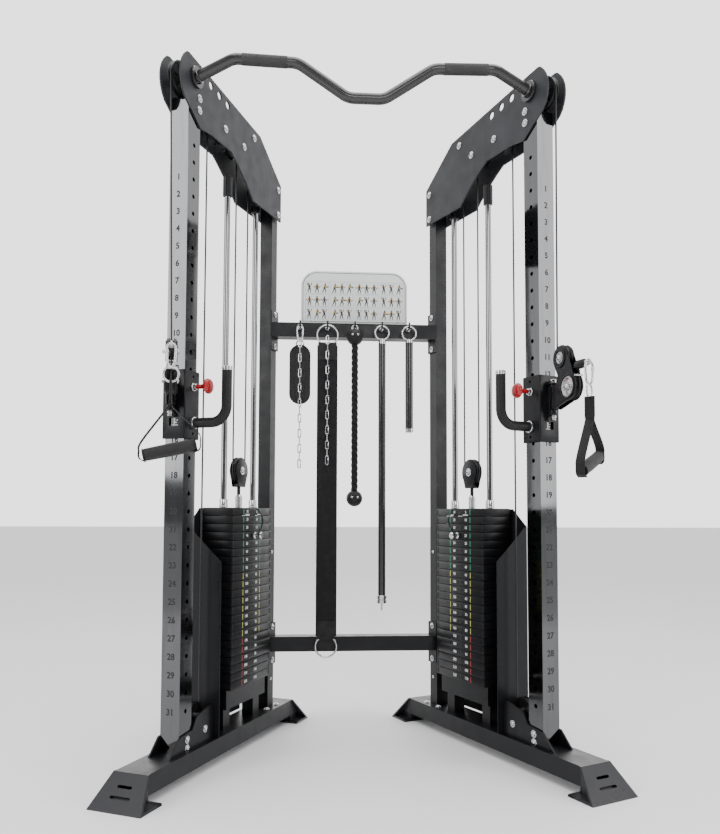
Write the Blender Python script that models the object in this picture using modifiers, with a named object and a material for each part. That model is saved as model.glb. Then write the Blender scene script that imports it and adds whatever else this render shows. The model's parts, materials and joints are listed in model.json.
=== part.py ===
"""Dual-stack functional trainer: two mirrored cable towers, crossbars, pull-up bar and hanging accessories.

Run with: blender --background --python part.py

Lengths are metres and +Z is up. The origin is on the floor at the centre of the footprint; the user stands
on the -Y side. Each tower is modelled once in its own frame: X (called u) runs forward along the base
runner, Y (called w) runs outward from the tower's mid-plane, and Z is up. The left tower is its mirror image.
"""
import math

import bmesh
import bpy
from mathutils import Matrix, Vector

# ---------------------------------------------------------------- driving dimensions
TOWER_TOE = math.radians(24.3)      # each tower's runner splays outward by this from straight ahead
TOWER_OFFSET = 0.4535               # from the machine's mid-plane point to a tower's mid-plane
GAP = 0.0003                        # clearance between pieces that touch

RUNNER_HALF_WIDTH = 0.050
RUNNER_BOTTOM = 0.025
RUNNER_TOP = 0.077
RUNNER_WALL = 0.003
RUNNER_FRONT = 0.455                # u of the runner's top edge, front end
RUNNER_REAR = -0.391
FOOT_REACH = 0.069                  # how far a foot plate slopes out past the runner's top edge
FOOT_FLANGE = 0.090
FOOT_WIDTH = 0.160
FOOT_TOP_WIDTH = 0.105
FOOT_SHEET = 0.006

PLATE = 0.005                       # thickness of the gusset and boom plates
PLATE_W = 0.0328                    # mid-plane of the boom and gusset plates

UPRIGHT_U = 0.258                   # selector post: 60 mm square tube
UPRIGHT_SIZE = 0.060
UPRIGHT_WALL = 0.003
UPRIGHT_TOP = 1.922
HOLE_PITCH = 0.050
HOLE_FIRST = 0.187                  # height of the lowest adjustment hole
HOLE_COUNT = 33
HOLE_RADIUS = 0.0065

REAR_U = -0.273                     # rear upright: 40 x 45 mm tube
REAR_SIZE_U = 0.040
REAR_SIZE_W = 0.045
REAR_WALL = 0.0025
REAR_TOP = 1.885

ROD_FRONT_U = 0.016
ROD_REAR_U = -0.173
ROD_RADIUS = 0.0095
ROD_SOCKET_RADIUS = 0.015
STACK_U = (ROD_FRONT_U + ROD_REAR_U) / 2
STACK_LENGTH = 0.258
STACK_WIDTH = 0.105
STACK_BOTTOM = 0.198
ROW_PITCH = 0.0251
ROWS = 22
LIFTED_ROWS = 4                     # rows above the selector pin, the head plate included

CABLE_RADIUS = 0.0025
TOP_FRONT = (0.290, 1.972, 0.045)   # u, z and cable radius of each fixed pulley
TOP_REAR = (-0.0825, 1.925, 0.035)
IDLER_REAR = (-0.0095, 1.905, 0.030)
IDLER_FRONT = (0.101, 1.915, 0.040)
LOW = (0.177, 0.153, 0.036)
FLOATING = (STACK_U, 0.869, 0.039)  # pulley that hangs in the cable above the stack
SWIVEL_UP = (0.057, 1.170, 0.032)   # measured from the swivel's pivot
SWIVEL_LOW = (0.094, 1.083, 0.032)
PULLEY_WIDTH = 0.018
PULLEY_RIM = 0.0045                 # how far a rim stands above the cable's centre line
GROOVE_DEPTH = 0.0032               # from the cable's centre line down to the groove

CARRIAGE_BOTTOM = 0.940
CARRIAGE_TOP = 1.133
CARRIAGE_WALL = 0.0055
CARRIAGE_CLEARANCE = 0.0015
CARRIAGE_HALF = UPRIGHT_SIZE / 2 + CARRIAGE_CLEARANCE + CARRIAGE_WALL
POP_PIN_Z = 1.087                   # 19th hole from the bottom
PIVOT_U = 0.309
SWIVEL_REST = {1: math.radians(10.4), -1: math.radians(34.0)}   # inward swing of each swivel at rest
EXIT_LIFT = {1: 0.0, -1: 0.026}     # how far each cable end stands above level
HANDLE_TWIST = {1: math.radians(36), -1: math.radians(4)}       # turn of each hanging handle at rest
HANDLE_TILT = {1: 0.020, -1: -0.013}                            # half the height between its grip's ends
STOPPER = (0.118, 0.168)            # ends of the rubber stopper, from the pivot
EYE_X = 0.177                       # the eye that the strap handle hangs from

BAR_END_U = 0.262                   # where the pull-up bar meets the inner boom plates
BAR_END_Z = 1.985
PULL_BAR_Y = -0.262
PULL_BAR_RADIUS = 0.016
BAR_Y = 0.2686                      # mid-plane of the crossbars
BAR_SIZE = 0.050
UPPER_BAR_Z = 1.369
LOWER_BAR_Z = 0.290
HOOK_SPACING = 0.094
HOOK_Y = BAR_Y - BAR_SIZE / 2 - 0.031
HOOK_Z = 1.376
HOOK_WIRE = 0.003
RING_WIRE = 0.003                   # wire radius of the rings that hang on the hooks
RING_REST = 0.0036                  # height of a ring's top above its hook's origin

SIDES = {"right": 1, "left": -1}
FACETS = 20


# ---------------------------------------------------------------- scene set-up
for old in list(bpy.data.objects):
    bpy.data.objects.remove(old, do_unlink=True)

parts = bpy.data.collections.new("functional_trainer")
bpy.context.scene.collection.children.link(parts)


def finish_material(name, color, roughness, metallic):
    material = bpy.data.materials.new(name)
    material.use_nodes = True
    shader = material.node_tree.nodes["Principled BSDF"]
    shader.inputs["Base Color"].default_value = (*color, 1.0)
    shader.inputs["Roughness"].default_value = roughness
    shader.inputs["Metallic"].default_value = metallic
    return material


BLACK = finish_material("black_powder", (0.022, 0.023, 0.026), 0.45, 0.0)
CHARCOAL = finish_material("charcoal_powder", (0.060, 0.060, 0.066), 0.60, 0.0)
CHROME = finish_material("chrome", (0.55, 0.55, 0.56), 0.15, 1.0)
IRON = finish_material("weight_iron", (0.020, 0.020, 0.022), 0.55, 0.0)
NYLON = finish_material("pulley_nylon", (0.015, 0.015, 0.016), 0.40, 0.0)
RUBBER = finish_material("grip_rubber", (0.028, 0.027, 0.028), 0.75, 0.0)
RED = finish_material("red_plastic", (0.55, 0.012, 0.020), 0.35, 0.0)
SHEATH = finish_material("cable_sheath", (0.012, 0.012, 0.013), 0.35, 0.0)
WEBBING = finish_material("black_webbing", (0.020, 0.019, 0.021), 0.85, 0.0)
CARD = finish_material("placard_print", (0.80, 0.81, 0.81), 0.50, 0.0)


# ---------------------------------------------------------------- modelling helpers
def link(name, data):
    piece = bpy.data.objects.new(name, data)
    parts.objects.link(piece)
    return piece


def baked(piece):
    """Turn a piece and its modifiers into a plain welded mesh in world coordinates."""
    bpy.context.view_layer.update()
    graph = bpy.context.evaluated_depsgraph_get()
    mesh = bpy.data.meshes.new_from_object(piece.evaluated_get(graph))
    mesh.transform(piece.matrix_world)
    work = bmesh.new()
    work.from_mesh(mesh)
    bmesh.ops.remove_doubles(work, verts=work.verts, dist=0.00001)
    work.to_mesh(mesh)
    work.free()
    bpy.data.objects.remove(piece, do_unlink=True)
    return link("solid", mesh)


def combine(target, tool, operation):
    """Apply an exact boolean of one solid on another and drop the tool."""
    modifier = target.modifiers.new("combine", "BOOLEAN")
    modifier.operation = operation
    modifier.solver = "EXACT"
    modifier.object = tool
    result = baked(target)
    bpy.data.objects.remove(tool, do_unlink=True)
    return result


def join(*solids):
    target = solids[0]
    for tool in solids[1:]:
        target = combine(target, tool, "UNION")
    return target


def cut(target, *tools):
    for tool in tools:
        target = combine(target, tool, "DIFFERENCE")
    return target


def box(low, high):
    """Axis-aligned block between two corners."""
    work = bmesh.new()
    bmesh.ops.create_cube(work, size=1.0)
    low = Vector(low)
    size = Vector(high) - low
    for vert in work.verts:
        vert.co = low + Vector(s * (c + 0.5) for s, c in zip(size, vert.co))
    mesh = bpy.data.meshes.new("box")
    work.to_mesh(mesh)
    work.free()
    return link("box", mesh)


def rod(start, end, radius, facets=FACETS, end_radius=None):
    """Round bar, or a cone, between two points."""
    start = Vector(start)
    axis = Vector(end) - start
    work = bmesh.new()
    bmesh.ops.create_cone(work, cap_ends=True, segments=facets, radius1=radius,
                          radius2=radius if end_radius is None else end_radius, depth=axis.length)
    turn = axis.to_track_quat("Z", "Y").to_matrix().to_4x4()
    bmesh.ops.transform(work, verts=work.verts, matrix=Matrix.Translation(start + axis / 2) @ turn)
    mesh = bpy.data.meshes.new("rod")
    work.to_mesh(mesh)
    work.free()
    return link("rod", mesh)


def ball(centre, radius):
    work = bmesh.new()
    bmesh.ops.create_uvsphere(work, u_segments=14, v_segments=8, radius=radius,
                              matrix=Matrix.Translation(Vector(centre)))
    mesh = bpy.data.meshes.new("ball")
    work.to_mesh(mesh)
    work.free()
    return link("ball", mesh)


def arc(centre, radius, start, end, steps):
    """Points on a circle in an outline's plane, from one angle to another in degrees."""
    angles = [math.radians(start + (end - start) * i / steps) for i in range(steps + 1)]
    return [(centre[0] + radius * math.cos(a), centre[1] + radius * math.sin(a)) for a in angles]


def arc_through(first, middle, last, steps):
    """Points on the circle through three points of an outline."""
    (ax, ay), (bx, by), (cx, cy) = first, middle, last
    scale = 2 * (ax * (by - cy) + bx * (cy - ay) + cx * (ay - by))
    a2, b2, c2 = ax * ax + ay * ay, bx * bx + by * by, cx * cx + cy * cy
    centre = ((a2 * (by - cy) + b2 * (cy - ay) + c2 * (ay - by)) / scale,
              (a2 * (cx - bx) + b2 * (ax - cx) + c2 * (bx - ax)) / scale)
    radius = math.hypot(ax - centre[0], ay - centre[1])
    angles = [math.atan2(p[1] - centre[1], p[0] - centre[0]) for p in (first, middle, last)]
    sweep = (angles[2] - angles[0]) % (2 * math.pi)
    if (angles[1] - angles[0]) % (2 * math.pi) > sweep:
        sweep -= 2 * math.pi
    start = math.degrees(angles[0])
    return arc(centre, radius, start, start + math.degrees(sweep), steps)


def outline(loops, thickness, middle=0.0, upright=True):
    """Flat plate from closed outlines, the first outer and the rest holes.

    An upright plate has its outline in X and Z and its mid-plane at Y = middle; a level one has its outline
    in X and Y and its mid-plane at Z = middle.
    """
    curve = bpy.data.curves.new("outline", "CURVE")
    curve.dimensions = "2D"
    curve.fill_mode = "BOTH"
    curve.extrude = thickness / 2
    for loop in loops:
        spline = curve.splines.new("POLY")
        spline.points.add(len(loop) - 1)
        spline.use_cyclic_u = True
        for point, (x, y) in zip(spline.points, loop):
            point.co = (x, y, 0.0, 1.0)
    piece = link("outline", curve)
    if upright:
        piece.rotation_euler = (math.radians(90), 0, 0)
        piece.location = (0, middle, 0)
    else:
        piece.location = (0, 0, middle)
    return baked(piece)


def pipe(points, radius, resolution=1, closed=False):
    """Round bar along a line of points, with its ends capped."""
    curve = bpy.data.curves.new("pipe", "CURVE")
    curve.dimensions = "3D"
    curve.bevel_depth = radius
    curve.bevel_resolution = resolution
    curve.use_fill_caps = not closed
    spline = curve.splines.new("POLY")
    spline.points.add(len(points) - 1)
    spline.use_cyclic_u = closed
    for point, place in zip(spline.points, points):
        point.co = (*place, 1.0)
    return baked(link("pipe", curve))


def turned(profile, steps=FACETS, closed=False):
    """Solid turned about Z from (radius, height) points that run down its outer side."""
    count = len(profile)
    edges = [(i, i + 1) for i in range(count - 1)]
    if closed:
        edges.append((count - 1, 0))
    mesh = bpy.data.meshes.new("profile")
    mesh.from_pydata([(r, 0.0, z) for r, z in profile], edges, [])
    piece = link("turned", mesh)
    screw = piece.modifiers.new("screw", "SCREW")
    screw.steps = steps
    screw.render_steps = steps
    screw.use_merge_vertices = True
    screw.merge_threshold = 0.00001
    return baked(piece)


def moved(solid, matrix):
    solid.data.transform(matrix)
    return solid


def along_y(solid):
    """Turn a solid that was made about Z so that its axis is Y."""
    return moved(solid, Matrix.Rotation(math.radians(-90), 4, "X"))


def rounded_path(points, radius, steps=6):
    """Line of points whose inner corners are replaced by arcs of one bend radius."""
    path = [Vector(points[0])]
    for before, corner, after in zip(points, points[1:], points[2:]):
        corner = Vector(corner)
        to_before = (Vector(before) - corner).normalized()
        to_after = (Vector(after) - corner).normalized()
        half = to_before.angle(to_after) / 2
        setback = radius / math.tan(half)
        centre = corner + (to_before + to_after).normalized() * radius / math.sin(half)
        first = corner + to_before * setback - centre
        last = corner + to_after * setback - centre
        for i in range(steps + 1):
            path.append(centre + first.slerp(last, i / steps) * radius)
    path.append(Vector(points[-1]))
    return path


def place(solid, name, material, parent=None, location=(0, 0, 0), side=1):
    """Name a solid, give it its material, mirror it for the left tower and put it in its frame."""
    if side < 0:
        solid.data.transform(Matrix.Scale(-1, 4, (0, 1, 0)))
        solid.data.flip_normals()
    solid.name = name
    solid.data.name = name
    solid.data.materials.clear()
    solid.data.materials.append(material)
    solid.data.shade_smooth()
    solid.data.set_sharp_from_angle(angle=math.radians(35))
    solid.parent = parent
    solid.location = (location[0], location[1] * side, location[2])
    return solid


def frame_empty(name, location, angle, parent=None):
    empty = link(name, None)
    empty.location = location
    empty.rotation_euler = (0, 0, angle)
    empty.parent = parent
    return empty


# ---------------------------------------------------------------- tower frame
def footprint_y(u, w):
    """How far behind the mid-plane point a tower point lies."""
    return -u * math.cos(TOWER_TOE) + (TOWER_OFFSET + w) * math.sin(TOWER_TOE)


FRONT_TIP = footprint_y(RUNNER_FRONT + FOOT_REACH, -FOOT_WIDTH / 2)
REAR_TIP = footprint_y(RUNNER_REAR - FOOT_REACH, FOOT_WIDTH / 2)
TOWER_X = TOWER_OFFSET * math.cos(TOWER_TOE)
TOWER_Y = TOWER_OFFSET * math.sin(TOWER_TOE) - (FRONT_TIP + REAR_TIP) / 2


def tower_frame(name, side):
    angle = -math.radians(90) + side * TOWER_TOE
    return frame_empty("tower_" + name, (side * TOWER_X, TOWER_Y, 0), angle)


# ---------------------------------------------------------------- frame parts
def foot(end, facing):
    """Bent sheet foot: a slotted sloping plate and the flange that it stands on."""
    slope = FOOT_REACH / RUNNER_TOP
    inner = FOOT_SHEET * math.hypot(1, slope)
    tip = end + facing * FOOT_REACH
    loop = [(end, RUNNER_TOP), (tip, 0), (tip - facing * FOOT_FLANGE, 0),
            (tip - facing * FOOT_FLANGE, FOOT_SHEET),
            (tip - facing * (inner + FOOT_SHEET * slope), FOOT_SHEET),
            (end - facing * (inner - FOOT_SHEET * slope), RUNNER_TOP - FOOT_SHEET),
            (end - facing * inner, RUNNER_TOP)]
    solid = outline([loop], FOOT_WIDTH)
    for vert in solid.data.vertices:
        vert.co.y *= 1 - (1 - FOOT_TOP_WIDTH / FOOT_WIDTH) * vert.co.z / RUNNER_TOP
    web_low, web_high = sorted((end - facing * 0.009, end + facing * 0.042))
    web = box((web_low, -0.046, 0.003), (web_high, 0.046, RUNNER_BOTTOM + 0.002))
    return join(solid, web)


def foot_slots(end, facing):
    """Two level slots through a foot's sloping plate, a short one above a long one."""
    slope = math.atan2(RUNNER_TOP, FOOT_REACH)
    tools = []
    for height, half_length in ((0.050, 0.018), (0.029, 0.026)):
        middle = Vector((end + facing * FOOT_REACH * (1 - height / RUNNER_TOP), 0, height))
        through = Vector((facing * math.sin(slope), 0, math.cos(slope))) * 0.010
        loop = arc((half_length, 0), 0.004, -90, 90, 5) + arc((-half_length, 0), 0.004, 90, 270, 5)
        tool = outline([loop], 0.020, upright=False)
        across = Vector((0, 1, 0))
        lean = Matrix((across, through.normalized().cross(across), through.normalized())).transposed().to_4x4()
        tools.append(moved(tool, Matrix.Translation(middle) @ lean))
    return tools


def base():
    """Base weldment: runner tube, two feet, the post's gusset plates and the stack's support beam."""
    slope = FOOT_REACH / RUNNER_TOP
    reach = (RUNNER_TOP - RUNNER_BOTTOM) * slope - 0.002
    outer = [(RUNNER_REAR - 0.001, RUNNER_TOP), (RUNNER_REAR - reach, RUNNER_BOTTOM),
             (RUNNER_FRONT + reach, RUNNER_BOTTOM), (RUNNER_FRONT - 0.001, RUNNER_TOP)]
    runner = outline([outer], RUNNER_HALF_WIDTH * 2)
    inner = [(RUNNER_REAR + 0.002, RUNNER_TOP - RUNNER_WALL),
             (RUNNER_REAR - reach + 0.006, RUNNER_BOTTOM + 0.006),
             (RUNNER_FRONT + reach - 0.006, RUNNER_BOTTOM + 0.006),
             (RUNNER_FRONT - 0.002, RUNNER_TOP - RUNNER_WALL)]
    runner = cut(runner, outline([inner], (RUNNER_HALF_WIDTH - RUNNER_WALL) * 2))
    solid = join(runner, foot(RUNNER_FRONT, 1), foot(RUNNER_REAR, -1))
    solid = cut(solid, *foot_slots(RUNNER_FRONT, 1), *foot_slots(RUNNER_REAR, -1))
    sunk = RUNNER_TOP - 0.002
    gusset = [(0.120, sunk), (0.338, sunk), (0.292, 0.122), (0.229, 0.129), (0.208, 0.160), (0.143, 0.176),
              (0.120, 0.174)]
    for w in (-PLATE_W, PLATE_W):
        solid = join(solid, outline([gusset], PLATE, middle=w))
    beam_top = STACK_BOTTOM - GAP
    beam = box((STACK_U - 0.125, -0.036, 0.140), (STACK_U + 0.125, 0.036, beam_top))
    for u in (ROD_FRONT_U, ROD_REAR_U):
        beam = join(beam, box((u - 0.020, -0.020, sunk), (u + 0.020, 0.020, 0.142)))
    return join(solid, beam)


def square_tube(half_u, half_w, wall, low, high):
    """Upright rectangular tube about the Z axis, open at both ends."""
    shell = box((-half_u, -half_w, low), (half_u, half_w, high))
    bore = box((-half_u + wall, -half_w + wall, low - 0.01), (half_u - wall, half_w - wall, high + 0.01))
    return cut(shell, bore)


def front_upright():
    """Chromed selector post with a row of adjustment holes in its inner face."""
    half = UPRIGHT_SIZE / 2
    solid = square_tube(half, half, UPRIGHT_WALL, RUNNER_TOP + GAP, UPRIGHT_TOP)
    drills = []
    for i in range(HOLE_COUNT):
        height = HOLE_FIRST + i * HOLE_PITCH
        drills.append(rod((0, -half - 0.004, height), (0, -half + 0.008, height), HOLE_RADIUS, facets=8))
    merged = drills[0]
    bpy.ops.object.select_all(action="DESELECT")
    for drill in drills:
        drill.select_set(True)
    bpy.context.view_layer.objects.active = merged
    bpy.ops.object.join()
    return moved(cut(solid, merged), Matrix.Translation((UPRIGHT_U, 0, 0)))


def rear_upright():
    tube = square_tube(REAR_SIZE_U / 2, REAR_SIZE_W / 2, REAR_WALL, RUNNER_TOP + GAP, REAR_TOP)
    return moved(tube, Matrix.Translation((REAR_U, 0, 0)))


def boom_plate(w):
    """Boom side plate: rounded nose over the post, stepped underside and three lightening holes."""
    nose = arc_through((0.316, 1.903), (0.340, 1.955), (0.309, 2.038), 8)
    belly = arc_through((-0.090, 1.761), (-0.014, 1.820), (0.054, 1.860), 5)
    loop = ([(-0.295, 1.890), (-0.295, 1.761)] + belly + [(0.166, 1.860), (0.236, 1.850), (0.288, 1.885)]
            + nose + [(0.298, 2.041), (-0.136, 1.998)])
    holes = [arc((u, z), 0.012, 0, 330, 11) for u, z in ((0.081, 1.996), (0.130, 2.001), (0.179, 2.006))]
    return outline([loop] + holes, PLATE, middle=w)


def guide_rod(socket_bottom, top):
    """Guide rod that stands on the support beam, with the tube that holds its top end."""
    profile = [(0, top), (ROD_SOCKET_RADIUS, top), (ROD_SOCKET_RADIUS, socket_bottom),
               (ROD_RADIUS, socket_bottom), (ROD_RADIUS, STACK_BOTTOM), (0, STACK_BOTTOM)]
    return turned(profile, steps=16)


def shroud():
    """Bent sheet guard: a front panel with a sloping top and a side panel outside the stack."""
    sheet = 0.002
    front_u, side_w, inner_w, rear_u = 0.115, 0.063, -0.053, -0.215
    low, high = RUNNER_TOP + GAP, 0.748
    front = box((front_u - sheet / 2, inner_w, low), (front_u + sheet / 2, side_w + sheet / 2, high))
    side = box((rear_u, side_w - sheet / 2, low), (front_u + sheet / 2, side_w + sheet / 2, high))
    solid = join(front, side)
    slope = [(0.054, 0.760), (0.054, 0.746), (0.112, 0.697), (0.130, 0.697), (0.130, 0.760)]
    solid = cut(solid, outline([slope], 0.250))
    edge = side_w + 0.0005
    rake = outline([[(-0.070, 0.760), (-0.070, 0.572), (edge, 0.697), (edge, 0.760)]], 0.020)
    rake = moved(rake, Matrix.Translation((front_u, 0, 0)) @ Matrix.Rotation(math.radians(90), 4, "Z"))
    return cut(solid, rake)


# ---------------------------------------------------------------- weights
def rod_bores(low, high):
    return [rod((u, 0, low - 0.01), (u, 0, high + 0.01), ROD_RADIUS + 0.002, facets=12)
            for u in (ROD_FRONT_U, ROD_REAR_U)]


def stack_block(low, high):
    half_length, half_width = STACK_LENGTH / 2, STACK_WIDTH / 2
    return box((STACK_U - half_length, -half_width, low), (STACK_U + half_length, half_width, high))


STACK_TOP = STACK_BOTTOM + ROWS * ROW_PITCH
SPLIT_Z = STACK_TOP - LIFTED_ROWS * ROW_PITCH
SELECTOR_Z = SPLIT_Z + ROW_PITCH / 2


def weight_stack():
    """The rows that stay down at the chosen setting, with bores for both rods and the selector rod."""
    high = SPLIT_Z - GAP
    bore = rod((STACK_U, 0, STACK_BOTTOM - 0.01), (STACK_U, 0, high + 0.01), 0.011, facets=12)
    return cut(stack_block(STACK_BOTTOM, high), *rod_bores(STACK_BOTTOM, high), bore)


COVER_FOOT = 0.8165                 # height of the flat foot of the floating pulley's covers


def pulley_cover(w):
    """Cover plate of the floating pulley, round above and tapering to a flat foot."""
    loop = arc((STACK_U, FLOATING[1]), FLOATING[2] - 0.001, -35, 215, 14)
    loop += [(STACK_U - 0.021, COVER_FOOT), (STACK_U + 0.021, COVER_FOOT)]
    return outline([loop], 0.003, middle=w)


def weight_head():
    """The lifted weights: rows above the pin, bushings, selector rod, hanger stem and pulley covers."""
    bushing_top = STACK_TOP + 0.026
    solid = stack_block(SPLIT_Z, STACK_TOP)
    for u in (ROD_FRONT_U, ROD_REAR_U):
        solid = join(solid, rod((u, 0, STACK_TOP - 0.002), (u, 0, bushing_top), 0.014, facets=16))
    solid = cut(solid, *rod_bores(SPLIT_Z, bushing_top))
    selector = rod((STACK_U, 0, STACK_BOTTOM + 0.004), (STACK_U, 0, SPLIT_Z + 0.002), 0.009, facets=12)
    coupling = rod((STACK_U, 0, STACK_TOP - 0.002), (STACK_U, 0, STACK_TOP + 0.042), 0.011, facets=12)
    thread = rod((STACK_U, 0, STACK_TOP + 0.040), (STACK_U, 0, COVER_FOOT + 0.004), 0.005, facets=10)
    saddle = box((STACK_U - 0.019, -0.0115, COVER_FOOT + 0.001), (STACK_U + 0.019, 0.0115, COVER_FOOT + 0.005))
    solid = join(solid, selector, coupling, thread, saddle, pulley_cover(-0.011), pulley_cover(0.011))
    axle = rod((STACK_U, -0.015, FLOATING[1]), (STACK_U, 0.015, FLOATING[1]), 0.006, facets=12)
    solid = join(solid, axle)
    pin_bore = rod((STACK_U, -STACK_WIDTH / 2 - 0.01, SELECTOR_Z), (STACK_U, 0.016, SELECTOR_Z), 0.0055,
                   facets=12)
    return cut(solid, pin_bore)


def selector_pin():
    """Weight selector pin with its knob, origin where it meets the stack's face."""
    profile = [(0, -0.034), (0.008, -0.034), (0.011, -0.030), (0.011, -0.004), (0.0045, -0.001),
               (0.0045, 0.064), (0.0030, 0.067), (0, 0.067)]
    profile = [(r, -z) for r, z in profile]
    return moved(turned(profile, steps=14), Matrix.Rotation(math.radians(90), 4, "X"))


# ---------------------------------------------------------------- pulleys and cable
def pulley(cable_radius, bore, steps=FACETS):
    """Grooved pulley about the Y axis."""
    half = PULLEY_WIDTH / 2
    rim = cable_radius + PULLEY_RIM
    groove = cable_radius - GROOVE_DEPTH
    profile = [(bore, half), (rim - 0.002, half), (rim, half - 0.002), (groove, 0.0032), (groove, -0.0032),
               (rim, 0.002 - half), (rim - 0.002, -half), (bore, -half)]
    return along_y(turned(profile, steps=steps, closed=True))


def wrap(centre, radius, start, end, steps=12):
    """Cable points round a pulley in the tower's mid-plane."""
    return [(x, 0.0, z) for x, z in arc(centre, radius, start, end, steps)]


def tangent_angle(first, second, sign):
    """Angle at which a straight run leaves one pulley and meets the next on the same side."""
    run = Vector((second[0] - first[0], second[1] - first[1]))
    lean = math.asin((second[2] - first[2]) / run.length)
    return math.degrees(math.atan2(run.y, run.x) + sign * (math.pi / 2 + lean))


def swivel_point(side, x, y, z):
    """A point of the swivel's own frame, in the tower's frame of the right-hand tower."""
    turn = Matrix.Rotation(-SWIVEL_REST[side], 4, "Z")
    return Matrix.Translation((PIVOT_U, 0, 0)) @ turn @ Vector((x, y, z))


def exit_height(side, x):
    """Height of the cable's free end at a distance from the pivot."""
    level = SWIVEL_UP[1] - SWIVEL_UP[2]
    return level + EXIT_LIFT[side] * (x - SWIVEL_UP[0]) / (EYE_X - SWIVEL_UP[0])


def cable(side):
    """One cable along its whole route, from the carriage's anchor to the stopper at the handle."""
    front, rear, back, lift = IDLER_FRONT, IDLER_REAR, TOP_REAR, FLOATING
    between = tangent_angle(rear, front, 1)
    over = tangent_angle(TOP_REAR, TOP_FRONT, 1)
    path = [(LOW[0] + LOW[2], 0, CARRIAGE_BOTTOM + 0.0045)]
    path += wrap(LOW, LOW[2], 0, -180)
    path += wrap(front, front[2], 0, between, 6)
    path += wrap(rear, rear[2], between, 180, 6)
    path += wrap(lift, lift[2], 0, -180, 14)
    path += wrap(back, back[2], 180, over, 6)
    path += wrap(TOP_FRONT, TOP_FRONT[2], over, 0, 8)
    for x, z in arc(SWIVEL_UP, SWIVEL_UP[2], 180, 270, 7):
        path.append(swivel_point(side, x, 0, z))
    near, far, eye = (swivel_point(side, x, 0, exit_height(side, x)) for x in (*STOPPER, EYE_X))
    path.append((near + far) / 2)
    stopper = rod(near, far, 0.012, facets=14)
    lug = box((-0.011, -0.003, -0.008), (0.007, 0.003, 0.008))
    lug = cut(lug, rod((0, -0.01, 0), (0, 0.01, 0), 0.0055, facets=12))
    lug = moved(lug, Matrix.Translation(eye) @ Matrix.Rotation(-SWIVEL_REST[side], 4, "Z"))
    return join(pipe(path, CABLE_RADIUS), stopper, lug)


# ---------------------------------------------------------------- carriage and swivel
def carriage():
    """Sliding sleeve, origin on the post's axis: pop-pin barrel, swivel ears with their bolt, cable anchor."""
    half = CARRIAGE_HALF
    bore = half - CARRIAGE_WALL
    solid = box((-half, -half, CARRIAGE_BOTTOM), (half, half, CARRIAGE_TOP))
    barrel = rod((0, -half + 0.002, POP_PIN_Z), (0, -half - 0.013, POP_PIN_Z), 0.009, facets=12)
    solid = join(solid, barrel)
    pivot = PIVOT_U - UPRIGHT_U
    for low in (1.016, 1.104):
        ear = box((half - 0.001, -0.014, low), (pivot, 0.014, low + 0.004))
        tip = rod((pivot, 0, low), (pivot, 0, low + 0.004), 0.014, facets=16)
        solid = join(solid, join(ear, tip))
    solid = join(solid, rod((pivot, 0, 1.004), (pivot, 0, 1.116), 0.005, facets=12))
    anchor_u = LOW[0] + LOW[2] - UPRIGHT_U
    anchor = box((anchor_u - 0.006, -0.009, CARRIAGE_BOTTOM + 0.005),
                 (-half + 0.001, 0.009, CARRIAGE_BOTTOM + 0.025))
    solid = join(solid, anchor)
    shaft = box((-bore, -bore, CARRIAGE_BOTTOM - 0.01), (bore, bore, CARRIAGE_TOP + 0.01))
    pin_bore = rod((0, -half - 0.02, POP_PIN_Z), (0, -bore + 0.002, POP_PIN_Z), 0.0055, facets=12)
    solid = cut(solid, shaft, pin_bore)
    return moved(solid, Matrix.Translation((0, 0, -POP_PIN_Z)))


def j_handle():
    """Adjustment handle: a level arm that bends up into a grip."""
    start = -CARRIAGE_HALF - GAP
    corner = -0.146
    path = rounded_path([(-0.002, start, 0.985), (-0.002, corner, 0.985), (-0.002, corner, 1.132)], 0.046)
    return moved(pipe(path, 0.0142, resolution=3), Matrix.Translation((0, 0, -POP_PIN_Z)))


def pop_pin():
    """Plunger with a mushroom knob, origin on its axis at the sleeve's face.

    The tip stops just short of the post, so that the carriage can stand at any height.
    """
    profile = [(0, 0.063), (0.012, 0.062), (0.019, 0.058), (0.022, 0.052), (0.019, 0.047), (0.010, 0.043),
               (0.0062, 0.036), (0.0062, 0.0150), (0.0050, 0.0145), (0.0050, -0.0050), (0.0038, -0.0066),
               (0, -0.0066)]
    return moved(turned(profile, steps=16), Matrix.Rotation(math.radians(90), 4, "X"))


def swivel_bracket():
    """Swivel head, origin on its pivot: hinge barrel, two cheek plates and both axles."""
    low = arc(SWIVEL_LOW, 0.038, -95, 30, 8)
    high = arc(SWIVEL_UP, 0.034, 10, 215, 12)
    cheek = [(0.022, 1.028)] + low + high + [(0.046, 1.118), (0.036, 1.098), (0.022, 1.098)]
    solid = join(rod((0, 0, 1.0205), (0, 0, 1.1035), 0.0095, facets=16),
                 box((0.004, -0.0125, 1.030), (0.0235, 0.0125, 1.096)))
    for y in (-0.0112, 0.0112):
        solid = join(solid, outline([cheek], 0.003, middle=y))
    for x, z, _ in (SWIVEL_UP, SWIVEL_LOW):
        solid = join(solid, rod((x, -0.015, z), (x, 0.015, z), 0.005, facets=12))
    solid = cut(solid, rod((0, 0, 1.01), (0, 0, 1.11), 0.0055, facets=12))
    return moved(solid, Matrix.Translation((0, 0, -POP_PIN_Z)))


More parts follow.
